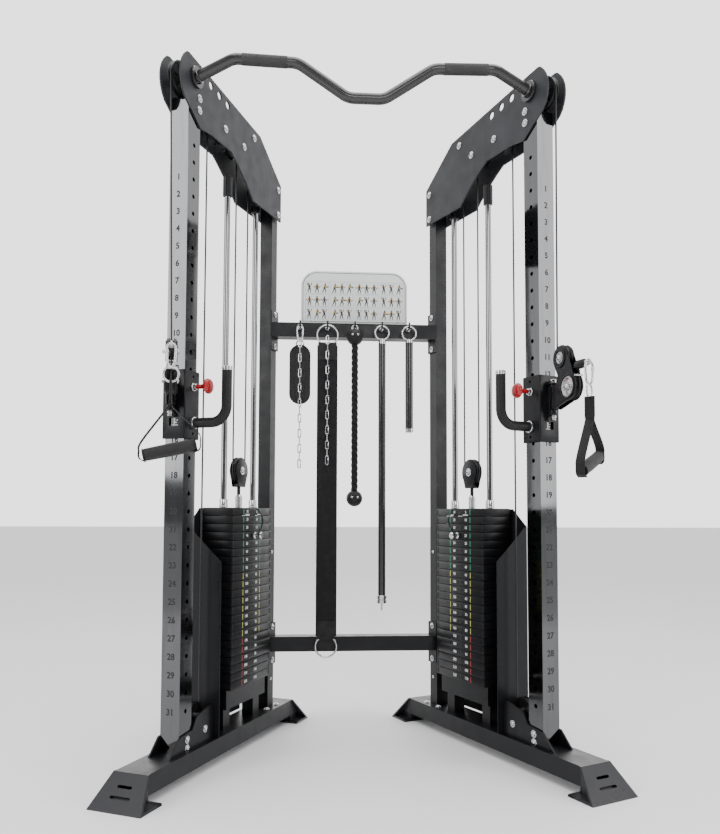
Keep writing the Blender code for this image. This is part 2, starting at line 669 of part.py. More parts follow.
def strap_handle(side):
    """Hanging stirrup handle, origin where its snap hook bears: hook, ring, webbing and grip."""
    hook = [(0, -0.004, 0), (0, 0.004, 0), (0, 0.0115, -0.010), (0, 0.0095, -0.052), (0, 0, -0.060),
            (0, -0.0095, -0.052), (0, -0.0115, -0.010)]
    ring = [(x, 0.0, z - 0.078) for x, z in arc((0, 0), 0.020, 0, 330, 11)]
    lower = join(pipe(ring, 0.0028, closed=True), box((-0.0140, -0.0032, -0.166), (0.0140, 0.0032, -0.094)))
    spread, bottom, tilt = 0.058, -0.272, HANDLE_TILT[side]
    ends = {sign: Vector((0, sign * spread, bottom + sign * tilt)) for sign in (-1, 1)}
    for sign, end in ends.items():
        top = Vector((0, sign * 0.0015, -0.150))
        arm = box((-0.0125, -0.0018, 0), (0.0125, 0.0018, (end - top).length))
        angle = math.atan2(top.z - end.z, sign * end.y)
        lean = Matrix.Rotation(sign * (math.radians(90) - angle), 4, "X") @ Matrix.Rotation(math.pi, 4, "X")
        lower = join(lower, moved(arm, Matrix.Translation(top) @ lean))
    beyond = (ends[1] - ends[-1]).normalized() * 0.006
    grip = rod(ends[-1] - beyond, ends[1] + beyond, 0.0165, facets=14)
    lower = moved(join(lower, grip), Matrix.Rotation(HANDLE_TWIST[side], 4, "Z"))
    return join(lower, pipe(hook, 0.0035, closed=True))


# ---------------------------------------------------------------- parts between the towers
def tower_point(side, u, w, z):
    x = side * (u * math.sin(TOWER_TOE) + (TOWER_OFFSET + w) * math.cos(TOWER_TOE))
    return Vector((x, footprint_y(u, w) - (FRONT_TIP + REAR_TIP) / 2, z))


def into_tower(side):
    """Matrix that takes a tower's own frame to the machine's."""
    turn = Matrix.Rotation(-math.radians(90) + side * TOWER_TOE, 4, "Z")
    return Matrix.Translation((side * TOWER_X, TOWER_Y, 0)) @ turn


def tower_box(side, low, high):
    """Block between two corners given as (u, w, z) of one tower, placed in the machine's frame."""
    w_low, w_high = sorted((side * low[1], side * high[1]))
    return moved(box((low[0], w_low, low[2]), (high[0], w_high, high[2])), into_tower(side))


def crossbar(height):
    """Rectangular tube between the rear uprights, with a bolted flange at each end."""
    half = BAR_SIZE / 2
    solid = box((-0.290, BAR_Y - half, height - half), (0.290, BAR_Y + half, height + half))
    solid = cut(solid, box((-0.300, BAR_Y - half + 0.003, height - half + 0.003),
                           (0.300, BAR_Y + half - 0.003, height + half - 0.003)))
    face = -REAR_SIZE_W / 2 - GAP
    inner = face - 0.005
    for side in SIDES.values():
        excess = tower_box(side, (REAR_U - 0.2, face, height - 0.1), (REAR_U + 0.2, face + 0.2, height + 0.1))
        flange = tower_box(side, (REAR_U - 0.024, inner, height - 0.069),
                           (REAR_U + 0.024, face, height + 0.069))
        mouth = tower_box(side, (REAR_U - 0.012, inner - 0.01, height - 0.012),
                          (REAR_U + 0.012, face + 0.01, height + 0.012))
        solid = join(cut(solid, excess), cut(flange, mouth))
    return solid


def upper_crossbar():
    """Upper crossbar with its five accessory hooks."""
    solid = crossbar(UPPER_BAR_Z)
    face = BAR_Y - BAR_SIZE / 2
    for i in range(5):
        x = (i - 2) * HOOK_SPACING
        path = [(x, face + 0.002, HOOK_Z - 0.002), (x, HOOK_Y + 0.004, HOOK_Z - 0.005),
                (x, HOOK_Y - 0.004, HOOK_Z - 0.003), (x, HOOK_Y - 0.008, HOOK_Z + 0.004),
                (x, HOOK_Y - 0.008, HOOK_Z + 0.016)]
        solid = join(solid, pipe(path, HOOK_WIRE))
    return solid


def pullup_bar():
    """Gull-wing pull-up bar between the inner boom plates, with a bolted flange at each end."""
    face = -PLATE_W - PLATE / 2 - GAP
    ends = [tower_point(side, BAR_END_U, face + 0.02, BAR_END_Z) for side in (-1, 1)]
    half = [(-0.378, PULL_BAR_Y, 2.024), (-0.196, PULL_BAR_Y, 2.019), (-0.052, PULL_BAR_Y, 1.922)]
    path = [ends[0]] + half + [(-x, y, z) for x, y, z in reversed(half)] + [ends[1]]
    solid = pipe(rounded_path(path, 0.060, steps=4), PULL_BAR_RADIUS, resolution=3)
    for side in SIDES.values():
        beyond = tower_box(side, (BAR_END_U - 0.1, face, BAR_END_Z - 0.1),
                           (BAR_END_U + 0.1, face + 0.1, BAR_END_Z + 0.1))
        flange = rod(tower_point(side, BAR_END_U, face, BAR_END_Z),
                     tower_point(side, BAR_END_U, face - 0.008, BAR_END_Z), 0.030, facets=18)
        solid = join(cut(solid, beyond), flange)
    return solid


def placard():
    """Exercise placard with rounded top corners that stands on the upper crossbar."""
    half, low, high, corner = 0.186, UPPER_BAR_Z + BAR_SIZE / 2 + GAP, 1.580, 0.055
    loop = ([(-half, low), (half, low)] + arc((half - corner, high - corner), corner, 0, 90, 7)
            + arc((corner - half, high - corner), corner, 90, 180, 7))
    return outline([loop], 0.003, middle=BAR_Y - 0.016)


# ---------------------------------------------------------------- hanging accessories, origin at the hook
def hanging_ring(radius):
    """Ring that hangs over its hook's wire, in the plane across it."""
    middle = (0, RING_REST - radius)
    return pipe([(x, 0.0, z) for x, z in arc(middle, radius, 90, 420, 11)], RING_WIRE, closed=True)


def ankle_cuff():
    """Padded cuff and its chain, hung by a snap hook."""
    ring = pipe([(0, 0, RING_REST), (0.010, 0, -0.004), (0.009, 0, -0.048), (0, 0, -0.056), (-0.009, 0, -0.048),
                 (-0.010, 0, -0.004)], RING_WIRE, closed=True)
    loop = (arc((0, -0.235), 0.036, 180, 360, 8) + arc((0, -0.088), 0.036, 0, 180, 8))
    cuff = outline([loop], 0.014, middle=0.002)
    chain = rod((0, -0.008, -0.050), (0, -0.008, -0.470), 0.0055, facets=8)
    return join(cuff, ring, chain)


def long_strap():
    """Flat strap with a ring at each end and a chain down its front."""
    ring = hanging_ring(0.036)
    strap = box((-0.035, -0.0025, -1.083), (0.035, 0.0025, -0.050))
    foot_ring = pipe([(x, 0.0, z - 1.090) for x, z in arc((0, 0), 0.036, 30, 360, 11)], RING_WIRE, closed=True)
    chain = rod((0, -0.007, -0.040), (0, -0.007, -0.470), 0.0055, facets=8)
    return join(strap, ring, foot_ring, chain)


def tricep_rope():
    """Twisted rope between two ball ends."""
    top, bottom, radius = -0.037, -0.592, 0.028
    ring = hanging_ring(0.010)
    return join(ring, rod((0, 0, top), (0, 0, bottom), 0.0115, facets=12), ball((0, 0, top), radius + 0.001),
                ball((0, 0, bottom), radius))


def long_bar():
    """Straight bar with a hanging ring, an end collar and a locating pin."""
    ring = hanging_ring(0.024)
    grip = rod((0, 0, -0.042), (0, 0, -0.921), 0.0128, facets=14)
    collar = rod((0, 0, -0.919), (0, 0, -0.946), 0.017, facets=14)
    pin = rod((0, 0, -0.944), (0, 0, -0.971), 0.003, facets=8)
    return join(grip, ring, collar, pin)


def short_bar():
    ring = hanging_ring(0.024)
    return join(rod((0, 0, -0.042), (0, 0, -0.365), 0.0135, facets=14), ring)


# ---------------------------------------------------------------- assembly
def build_tower(name, side):
    tower = tower_frame(name, side)
    post = frame_empty("post_" + name, (UPRIGHT_U, 0, POP_PIN_Z), 0, tower)
    swivel = frame_empty("swivel_" + name, (PIVOT_U, 0, POP_PIN_Z), -side * SWIVEL_REST[side], tower)

    def put(solid, label, material, parent=tower, location=(0, 0, 0)):
        place(solid, label + "_" + name, material, parent, location, side)

    put(base(), "base", BLACK)
    put(front_upright(), "front_upright", CHROME)
    put(rear_upright(), "rear_upright", BLACK)
    put(boom_plate(-PLATE_W), "boom_inner_plate", CHARCOAL)
    put(boom_plate(PLATE_W), "boom_outer_plate", CHARCOAL)
    put(guide_rod(1.737, 1.800), "guide_rod_front", CHROME, location=(ROD_FRONT_U, 0, 0))
    put(guide_rod(1.752, 1.775), "guide_rod_rear", CHROME, location=(ROD_REAR_U, 0, 0))
    put(shroud(), "shroud", BLACK)

    put(weight_stack(), "weight_stack", IRON)
    put(weight_head(), "weight_head", IRON)
    put(selector_pin(), "selector_pin", CHROME, location=(STACK_U, -STACK_WIDTH / 2, SELECTOR_Z))
    put(pulley(FLOATING[2], 0.0065), "floating_pulley", NYLON, location=(STACK_U, 0, FLOATING[1]))

    fixed = {"top_front_pulley": TOP_FRONT, "top_rear_pulley": TOP_REAR, "idler_rear": IDLER_REAR,
             "idler_front": IDLER_FRONT, "low_pulley": LOW}
    for label, (u, z, radius) in fixed.items():
        put(pulley(radius, 0.006), label, NYLON, location=(u, 0, z))
    put(cable(side), "cable", SHEATH)

    put(carriage(), "carriage", BLACK, post)
    put(j_handle(), "j_handle", RUBBER, post)
    put(pop_pin(), "pop_pin", RED, post, (0, -CARRIAGE_HALF, 0))
    put(swivel_bracket(), "swivel_bracket", BLACK, swivel)
    for label, (x, z, radius) in {"swivel_pulley_upper": SWIVEL_UP, "swivel_pulley_lower": SWIVEL_LOW}.items():
        put(pulley(radius, 0.0055), label, NYLON, swivel, (x, 0, z - POP_PIN_Z))
    put(strap_handle(side), "strap_handle", WEBBING, swivel, (EYE_X, 0, exit_height(side, EYE_X) - POP_PIN_Z))


def build_middle():
    place(upper_crossbar(), "crossbar_upper", BLACK)
    place(crossbar(LOWER_BAR_Z), "crossbar_lower", BLACK)
    place(pullup_bar(), "pullup_bar", CHARCOAL)
    place(placard(), "placard", CARD)
    accessories = ((ankle_cuff, "ankle_cuff", WEBBING), (long_strap, "long_strap", WEBBING),
                   (tricep_rope, "tricep_rope", WEBBING), (long_bar, "long_bar", RUBBER),
                   (short_bar, "short_bar", RUBBER))
    for i, (build, label, material) in enumerate(accessories):
        place(build(), label, material, location=((i - 2) * HOOK_SPACING, HOOK_Y, HOOK_Z))


for tower_name, tower_side in SIDES.items():
    build_tower(tower_name, tower_side)
build_middle()
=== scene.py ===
"""Looks of the dual-stack functional trainer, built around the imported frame.

Lengths are metres. Each tower's pieces are modelled in the right-hand tower's own frame: X (u) runs forward
along the base runner, Y (w) outward from the tower's mid-plane and Z up. The left tower mirrors them in w.
"""

import json
import math
import random

import bmesh
import bpy
from mathutils import Matrix, Vector


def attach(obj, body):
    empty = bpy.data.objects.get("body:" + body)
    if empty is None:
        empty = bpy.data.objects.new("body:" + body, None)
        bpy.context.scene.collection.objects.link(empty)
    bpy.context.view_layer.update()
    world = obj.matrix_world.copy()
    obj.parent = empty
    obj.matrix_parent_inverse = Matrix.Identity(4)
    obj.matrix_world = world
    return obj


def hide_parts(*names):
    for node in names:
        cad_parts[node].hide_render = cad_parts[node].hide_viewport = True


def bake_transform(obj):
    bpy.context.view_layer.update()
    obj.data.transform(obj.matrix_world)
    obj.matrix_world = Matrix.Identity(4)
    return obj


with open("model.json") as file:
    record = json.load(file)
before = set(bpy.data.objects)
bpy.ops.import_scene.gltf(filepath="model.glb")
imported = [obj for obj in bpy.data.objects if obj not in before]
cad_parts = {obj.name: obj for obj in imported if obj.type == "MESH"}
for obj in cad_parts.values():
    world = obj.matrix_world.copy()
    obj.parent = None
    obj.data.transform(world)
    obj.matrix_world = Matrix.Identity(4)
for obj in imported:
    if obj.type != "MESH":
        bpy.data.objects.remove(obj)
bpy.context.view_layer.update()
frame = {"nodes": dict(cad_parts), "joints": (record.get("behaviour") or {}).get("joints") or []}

# ---------------------------------------------------------------- sizes repeated from the design
SIDES = {"right": 1, "left": -1}
JOINTS = {joint["name"]: joint for joint in frame["joints"]}
LOW_PULLEY_U = 0.177
PLATE_FACE = 0.0353                 # outer faces of the boom and gusset plates, from the mid-plane
UPRIGHT_U = 0.258
UPRIGHT_HALF = 0.030
HOLE_PITCH = 0.050
NUMBER_ONE_Z = 1.687                # height of hole number 1; the numbers count downward
NUMBERS = 31
ROD_FRONT_U = 0.016
ROD_REAR_U = -0.173
STACK_U = (ROD_FRONT_U + ROD_REAR_U) / 2
STACK_HALF = 0.129
LABEL_U = -0.0735                   # middle of the labels on the stack's inner face
STACK_HALF_WIDTH = 0.0525
STACK_BOTTOM = 0.198
ROW_PITCH = 0.0251
ROWS = 22
LIFTED_ROWS = 4
STACK_TOP = STACK_BOTTOM + ROWS * ROW_PITCH
SELECTOR_Z = STACK_TOP - (LIFTED_ROWS - 0.5) * ROW_PITCH
TOP_FRONT = (0.290, 1.972, 0.045)
TOP_REAR = (-0.0825, 1.925, 0.035)
IDLER_REAR = (-0.0095, 1.905, 0.030)
IDLER_FRONT = (0.101, 1.915, 0.040)
LOW = (LOW_PULLEY_U, 0.153, 0.036)
FLOATING = (STACK_U, 0.869, 0.039)
COVER_FOOT = 0.8165                 # height of the flat foot of the floating pulley's covers
SWIVEL_UP = (0.057, 1.170, 0.032)
SWIVEL_LOW = (0.094, 1.083, 0.032)
CABLE_RADIUS = 0.0025
CARRIAGE_HALF = 0.037
CARRIAGE_WALL = 0.0055
CARRIAGE_BOTTOM = 0.940
CARRIAGE_TOP = 1.133
POP_PIN_Z = 1.087
PIVOT_U = 0.309
STOPPER = (0.118, 0.168)
EYE_X = 0.177
EXIT_LIFT = {"right": 0.0, "left": 0.026}
HANDLE_TWIST = {"right": math.radians(36), "left": math.radians(4)}
HANDLE_TILT = {"right": 0.020, "left": -0.013}
BAR_Y = 0.2686
UPPER_BAR_Z = 1.369
HOOK_SPACING = 0.094
HOOK_Y = BAR_Y - 0.025 - 0.031
HOOK_Z = 1.376


# ---------------------------------------------------------------- frames
def side_axes(joint_name):
    """World matrix whose Y is a joint's axis and whose origin is under the joint."""
    joint = JOINTS[joint_name]
    y = Vector(joint["axis"]).normalized()
    x = y.cross(Vector((0, 0, 1)))
    turn = Matrix((x, y, (0, 0, 1))).transposed().to_4x4()
    place = Vector(joint["pos_m"])
    return Matrix.Translation((place.x, place.y, 0)) @ turn


TOWER = {name: side_axes(f"low_pulley_{name}_spin") @ Matrix.Translation((-LOW_PULLEY_U, 0, 0))
         for name in SIDES}
SWIVEL = {name: side_axes(f"swivel_pulley_upper_{name}_spin") @ Matrix.Translation((-SWIVEL_UP[0], 0, 0))
          for name in SIDES}
STAND_UP = Matrix.Rotation(math.radians(90), 4, "X")    # turns a flat outline's Y into Z


# ---------------------------------------------------------------- materials
class Finish:
    """A node material built round one Principled shader."""

    def __init__(self, name, color, roughness, metallic=0.0, **sockets):
        self.material = bpy.data.materials.new(name)
        self.material.use_nodes = True
        self.tree = self.material.node_tree
        self.shader = self.tree.nodes["Principled BSDF"]
        self.shader.inputs["Base Color"].default_value = (*color, 1)
        self.shader.inputs["Roughness"].default_value = roughness
        self.shader.inputs["Metallic"].default_value = metallic
        for socket, value in sockets.items():
            self.shader.inputs[socket.replace("_", " ")].default_value = value
        self.color = color
        self.roughness = roughness
        self.coordinates = self.node("ShaderNodeTexCoord").outputs["Object"]
        self.height = None

    def node(self, kind, links=(), **values):
        made = self.tree.nodes.new(kind)
        for key, value in values.items():
            if hasattr(made, key):
                setattr(made, key, value)
            else:
                made.inputs[key.replace("_", " ").title()].default_value = value
        for key, source in links:
            self.tree.links.new(source, made.inputs[key])
        return made

    def noise(self, scale, detail=3.0, stretch=(1, 1, 1)):
        mapped = self.node("ShaderNodeMapping", [("Vector", self.coordinates)])
        mapped.inputs["Scale"].default_value = stretch
        made = self.node("ShaderNodeTexNoise", [("Vector", mapped.outputs[0])])
        made.inputs["Scale"].default_value = scale
        made.inputs["Detail"].default_value = detail
        return made.outputs["Fac"]

    def ranged(self, source, low, high, start=0.3, end=0.7):
        made = self.node("ShaderNodeMapRange", [("Value", source)])
        for key, value in (("From Min", start), ("From Max", end), ("To Min", low), ("To Max", high)):
            made.inputs[key].default_value = value
        return made.outputs[0]

    def math(self, operation, first, second):
        made = self.node("ShaderNodeMath", operation=operation)
        for socket, value in zip(made.inputs, (first, second)):
            if isinstance(value, (int, float)):
                socket.default_value = value
            else:
                self.tree.links.new(value, socket)
        return made.outputs[0]

    def vary_roughness(self, scale, spread, stretch=(1, 1, 1)):
        wear = self.ranged(self.noise(scale, 4.0, stretch), self.roughness - spread, self.roughness + spread)
        self.tree.links.new(wear, self.shader.inputs["Roughness"])
        return self

    def vary_color(self, scale, other, stretch=(1, 1, 1), start=0.35, end=0.75):
        mix = self.node("ShaderNodeMix", data_type="RGBA")
        share = self.ranged(self.noise(scale, 5.0, stretch), 0, 1, start, end)
        self.tree.links.new(share, mix.inputs["Factor"])
        mix.inputs[6].default_value = (*self.color, 1)
        mix.inputs[7].default_value = (*other, 1)
        self.tree.links.new(mix.outputs[2], self.shader.inputs["Base Color"])
        return self

    def mask_color(self, mask, other):
        """Lay another colour over the base where the mask is 1."""
        mix = self.node("ShaderNodeMix", data_type="RGBA")
        self.tree.links.new(mask, mix.inputs["Factor"])
        before = self.shader.inputs["Base Color"]
        if before.links:
            self.tree.links.new(before.links[0].from_socket, mix.inputs[6])
        else:
            mix.inputs[6].default_value = before.default_value
        mix.inputs[7].default_value = (*other, 1)
        self.tree.links.new(mix.outputs[2], before)
        return self

    def bump(self, height, distance, strength=1.0):
        made = self.node("ShaderNodeBump", [("Height", height)])
        made.inputs["Distance"].default_value = distance
        made.inputs["Strength"].default_value = strength
        normal = self.shader.inputs["Normal"]
        if normal.links:
            self.tree.links.new(normal.links[0].from_socket, made.inputs["Normal"])
        self.tree.links.new(made.outputs[0], normal)
        return self

    def waves(self, scale, direction):
        made = self.node("ShaderNodeTexWave", [("Vector", self.coordinates)], wave_type="BANDS",
                         bands_direction=direction)
        made.inputs["Scale"].default_value = scale
        return made.outputs["Fac"]


def powder(name, color, roughness, grain):
    """Powder coat: fine orange peel, faint dust and uneven gloss."""
    made = Finish(name, color, roughness)
    made.shader.inputs["Specular IOR Level"].default_value = 0.26
    made.vary_color(7.0, tuple(c * 1.45 + 0.0006 for c in color))
    made.vary_roughness(22.0, 0.07)
    made.bump(made.noise(grain, 2.0), 0.00025, 0.5)
    return made


BLACK = powder("black_powder_coat", (0.0036, 0.0038, 0.0048), 0.34, 900.0)
CHARCOAL = powder("charcoal_powder_coat", (0.0155, 0.0162, 0.0188), 0.48, 700.0)
IRON = powder("stack_plate_paint", (0.0036, 0.0038, 0.0046), 0.40, 500.0)
SHEET = powder("guard_sheet_paint", (0.0055, 0.0058, 0.0068), 0.40, 1100.0)


def chrome(name, color, roughness, ripple):
    made = Finish(name, color, roughness, 1.0)
    made.vary_roughness(9.0, 0.035, (1, 1, 0.25))
    made.vary_color(60.0, tuple(c * 0.82 for c in color), (1, 1, 0.1), 0.5, 0.8)
    made.bump(made.noise(5.0, 2.0, (1, 1, 0.35)), ripple, 0.6)
    return made


CHROME = chrome("post_chrome", (0.115, 0.116, 0.119), 0.075, 0.0030)
ROD_CHROME = chrome("rod_chrome", (0.27, 0.27, 0.275), 0.07, 0.0004)
ZINC = chrome("bolt_zinc", (0.58, 0.58, 0.59), 0.20, 0.0002)
WIRE = chrome("wire_steel", (0.60, 0.60, 0.61), 0.16, 0.0002)

NYLON = Finish("pulley_moulding", (0.0050, 0.0050, 0.0056), 0.34, Specular_IOR_Level=0.34)
NYLON.vary_roughness(60.0, 0.08)
NYLON.bump(NYLON.noise(1400.0, 1.0), 0.0001, 0.4)
RUBBER = Finish("handle_rubber", (0.0062, 0.0060, 0.0062), 0.48, Specular_IOR_Level=0.32)
RUBBER.vary_roughness(40.0, 0.08)
RUBBER.bump(RUBBER.noise(1600.0, 2.0), 0.0002, 0.5)
FOAM = Finish("foam_grip", (0.0125, 0.0122, 0.0128), 0.85, Sheen_Weight=0.08)
FOAM.vary_color(90.0, (0.020, 0.0195, 0.020))
FOAM.bump(FOAM.noise(1900.0, 3.0), 0.0006, 0.8)
RED = Finish("knob_red", (0.40, 0.004, 0.008), 0.30, Coat_Weight=0.3).vary_roughness(50.0, 0.06)
RED.bump(RED.noise(300.0, 2.0), 0.0001, 0.3)
SHEATH = Finish("cable_nylon", (0.007, 0.007, 0.0078), 0.32)
SHEATH.bump(SHEATH.noise(1200.0, 2.0), 0.0002, 0.4)
ENGRAVED = Finish("engraving_ink", (0.006, 0.006, 0.007), 0.60).vary_roughness(200.0, 0.1)
MARK_WHITE = Finish("mark_white", (0.75, 0.75, 0.74), 0.55).vary_roughness(200.0, 0.1)
CARD = Finish("placard_board", (0.78, 0.79, 0.79), 0.42).vary_color(4.0, (0.71, 0.72, 0.72))
CARD.vary_roughness(12.0, 0.05)
CARD_FRAME = Finish("placard_frame", (0.12, 0.12, 0.125), 0.45).vary_roughness(30.0, 0.08)
CARD_LINE = Finish("placard_lines", (0.42, 0.43, 0.44), 0.50).vary_roughness(30.0, 0.05)
CARD_INK = Finish("placard_ink", (0.030, 0.030, 0.030), 0.50).vary_roughness(30.0, 0.05)
CARD_YELLOW = Finish("placard_yellow", (0.62, 0.42, 0.045), 0.50).vary_roughness(30.0, 0.05)
BARS = {"green": Finish("bar_green", (0.03, 0.36, 0.16), 0.5).vary_roughness(90.0, 0.1),
        "yellow": Finish("bar_yellow", (0.62, 0.58, 0.10), 0.5).vary_roughness(90.0, 0.1),
        "red": Finish("bar_red", (0.50, 0.03, 0.03), 0.5).vary_roughness(90.0, 0.1)}


def webbing(name, color, rib):
    """Woven strap: crosswise ribs over lengthwise yarns, with a soft sheen."""
    made = Finish(name, color, 0.82, Sheen_Weight=0.08, Specular_IOR_Level=0.3)
    ribs = made.waves(rib, "Z")
    yarns = made.waves(rib * 1.3, "X")
    made.vary_color(50.0, tuple(c * 1.7 + 0.002 for c in color))
    made.bump(made.math("ADD", ribs, made.math("MULTIPLY", yarns, 0.5)), 0.0005, 0.8)
    return made


WEBBING = webbing("strap_webbing", (0.0060, 0.0058, 0.0066), 180.0)
BINDING = webbing("edge_binding", (0.017, 0.0165, 0.0175), 260.0)
ROPE = webbing("rope_yarn", (0.0048, 0.0048, 0.0058), 320.0)
PADDING = Finish("cuff_padding", (0.0055, 0.0053, 0.0060), 0.75, Sheen_Weight=0.06)
PADDING.bump(PADDING.noise(500.0, 3.0), 0.0006, 0.6)
GRIP_TAPE = Finish("bar_grip", (0.022, 0.0215, 0.0215), 0.55)
KNURL = (GRIP_TAPE.waves(330.0, "DIAGONAL"), GRIP_TAPE.waves(330.0, "X"))
GRIP_TAPE.bump(GRIP_TAPE.math("MULTIPLY", *KNURL), 0.0006, 1)
GRIP_TAPE.vary_color(30.0, (0.034, 0.033, 0.033))
BAR_STEEL = Finish("bar_steel", (0.016, 0.0155, 0.016), 0.26, Coat_Weight=0.3).vary_roughness(25.0, 0.08)
GLOSS_BLACK = Finish("bar_enamel", (0.011, 0.010, 0.0105), 0.22, Coat_Weight=0.5).vary_roughness(20.0, 0.06)


# ---------------------------------------------------------------- mesh tools
def arc(centre, radius, start, end, steps):
    """Points on a circle from one angle to another in degrees."""
    angles = [math.radians(start + (end - start) * i / steps) for i in range(steps + 1)]
    return [(centre[0] + radius * math.cos(a), centre[1] + radius * math.sin(a)) for a in angles]


def rounded(points, radius, steps=10):
    """Line of points whose inner corners are replaced by arcs of one bend radius."""
    path = [Vector(points[0])]
    for before, corner, after in zip(points, points[1:], points[2:]):
        corner = Vector(corner)
        to_before = (Vector(before) - corner).normalized()
        to_after = (Vector(after) - corner).normalized()
        half = to_before.angle(to_after) / 2
        setback = radius / math.tan(half)
        centre = corner + (to_before + to_after).normalized() * radius / math.sin(half)
        first = corner + to_before * setback - centre
        last = corner + to_after * setback - centre
        path += [centre + first.slerp(last, i / steps) * radius for i in range(steps + 1)]
    path.append(Vector(points[-1]))
    return path


def eased(a, b, c, d, t):
    """Point between b and c on the Catmull-Rom curve through four points."""
    return 0.5 * ((2 * b) + (c - a) * t + (2 * a - 5 * b + 4 * c - d) * t * t
                  + (3 * b - a - 3 * c + d) * t ** 3)


def smooth_loop(points, steps=8):
    """Closed smooth curve through its points."""
    points = [Vector(p) for p in points]
    count = len(points)
    path = []
    for i in range(count):
        a, b, c, d = (points[(i + k) % count] for k in (-1, 0, 1, 2))
        path += [eased(a, b, c, d, k / steps) for k in range(steps)]
    return path


def smooth_path(points, steps=6):
    """Open smooth curve through its points."""
    last = len(points) - 1
    path = []
    for i in range(last):
        a, b, c, d = (points[min(max(i + k, 0), last)] for k in (-1, 0, 1, 2))
        path += [eased(a, b, c, d, k / steps) for k in range(steps)]
    return path + [points[-1]]


def pointing(origin, direction):
    """Matrix that puts Z along a direction at a place."""
    return Matrix.Translation(Vector(origin)) @ Vector(direction).to_track_quat("Z", "Y").to_matrix().to_4x4()


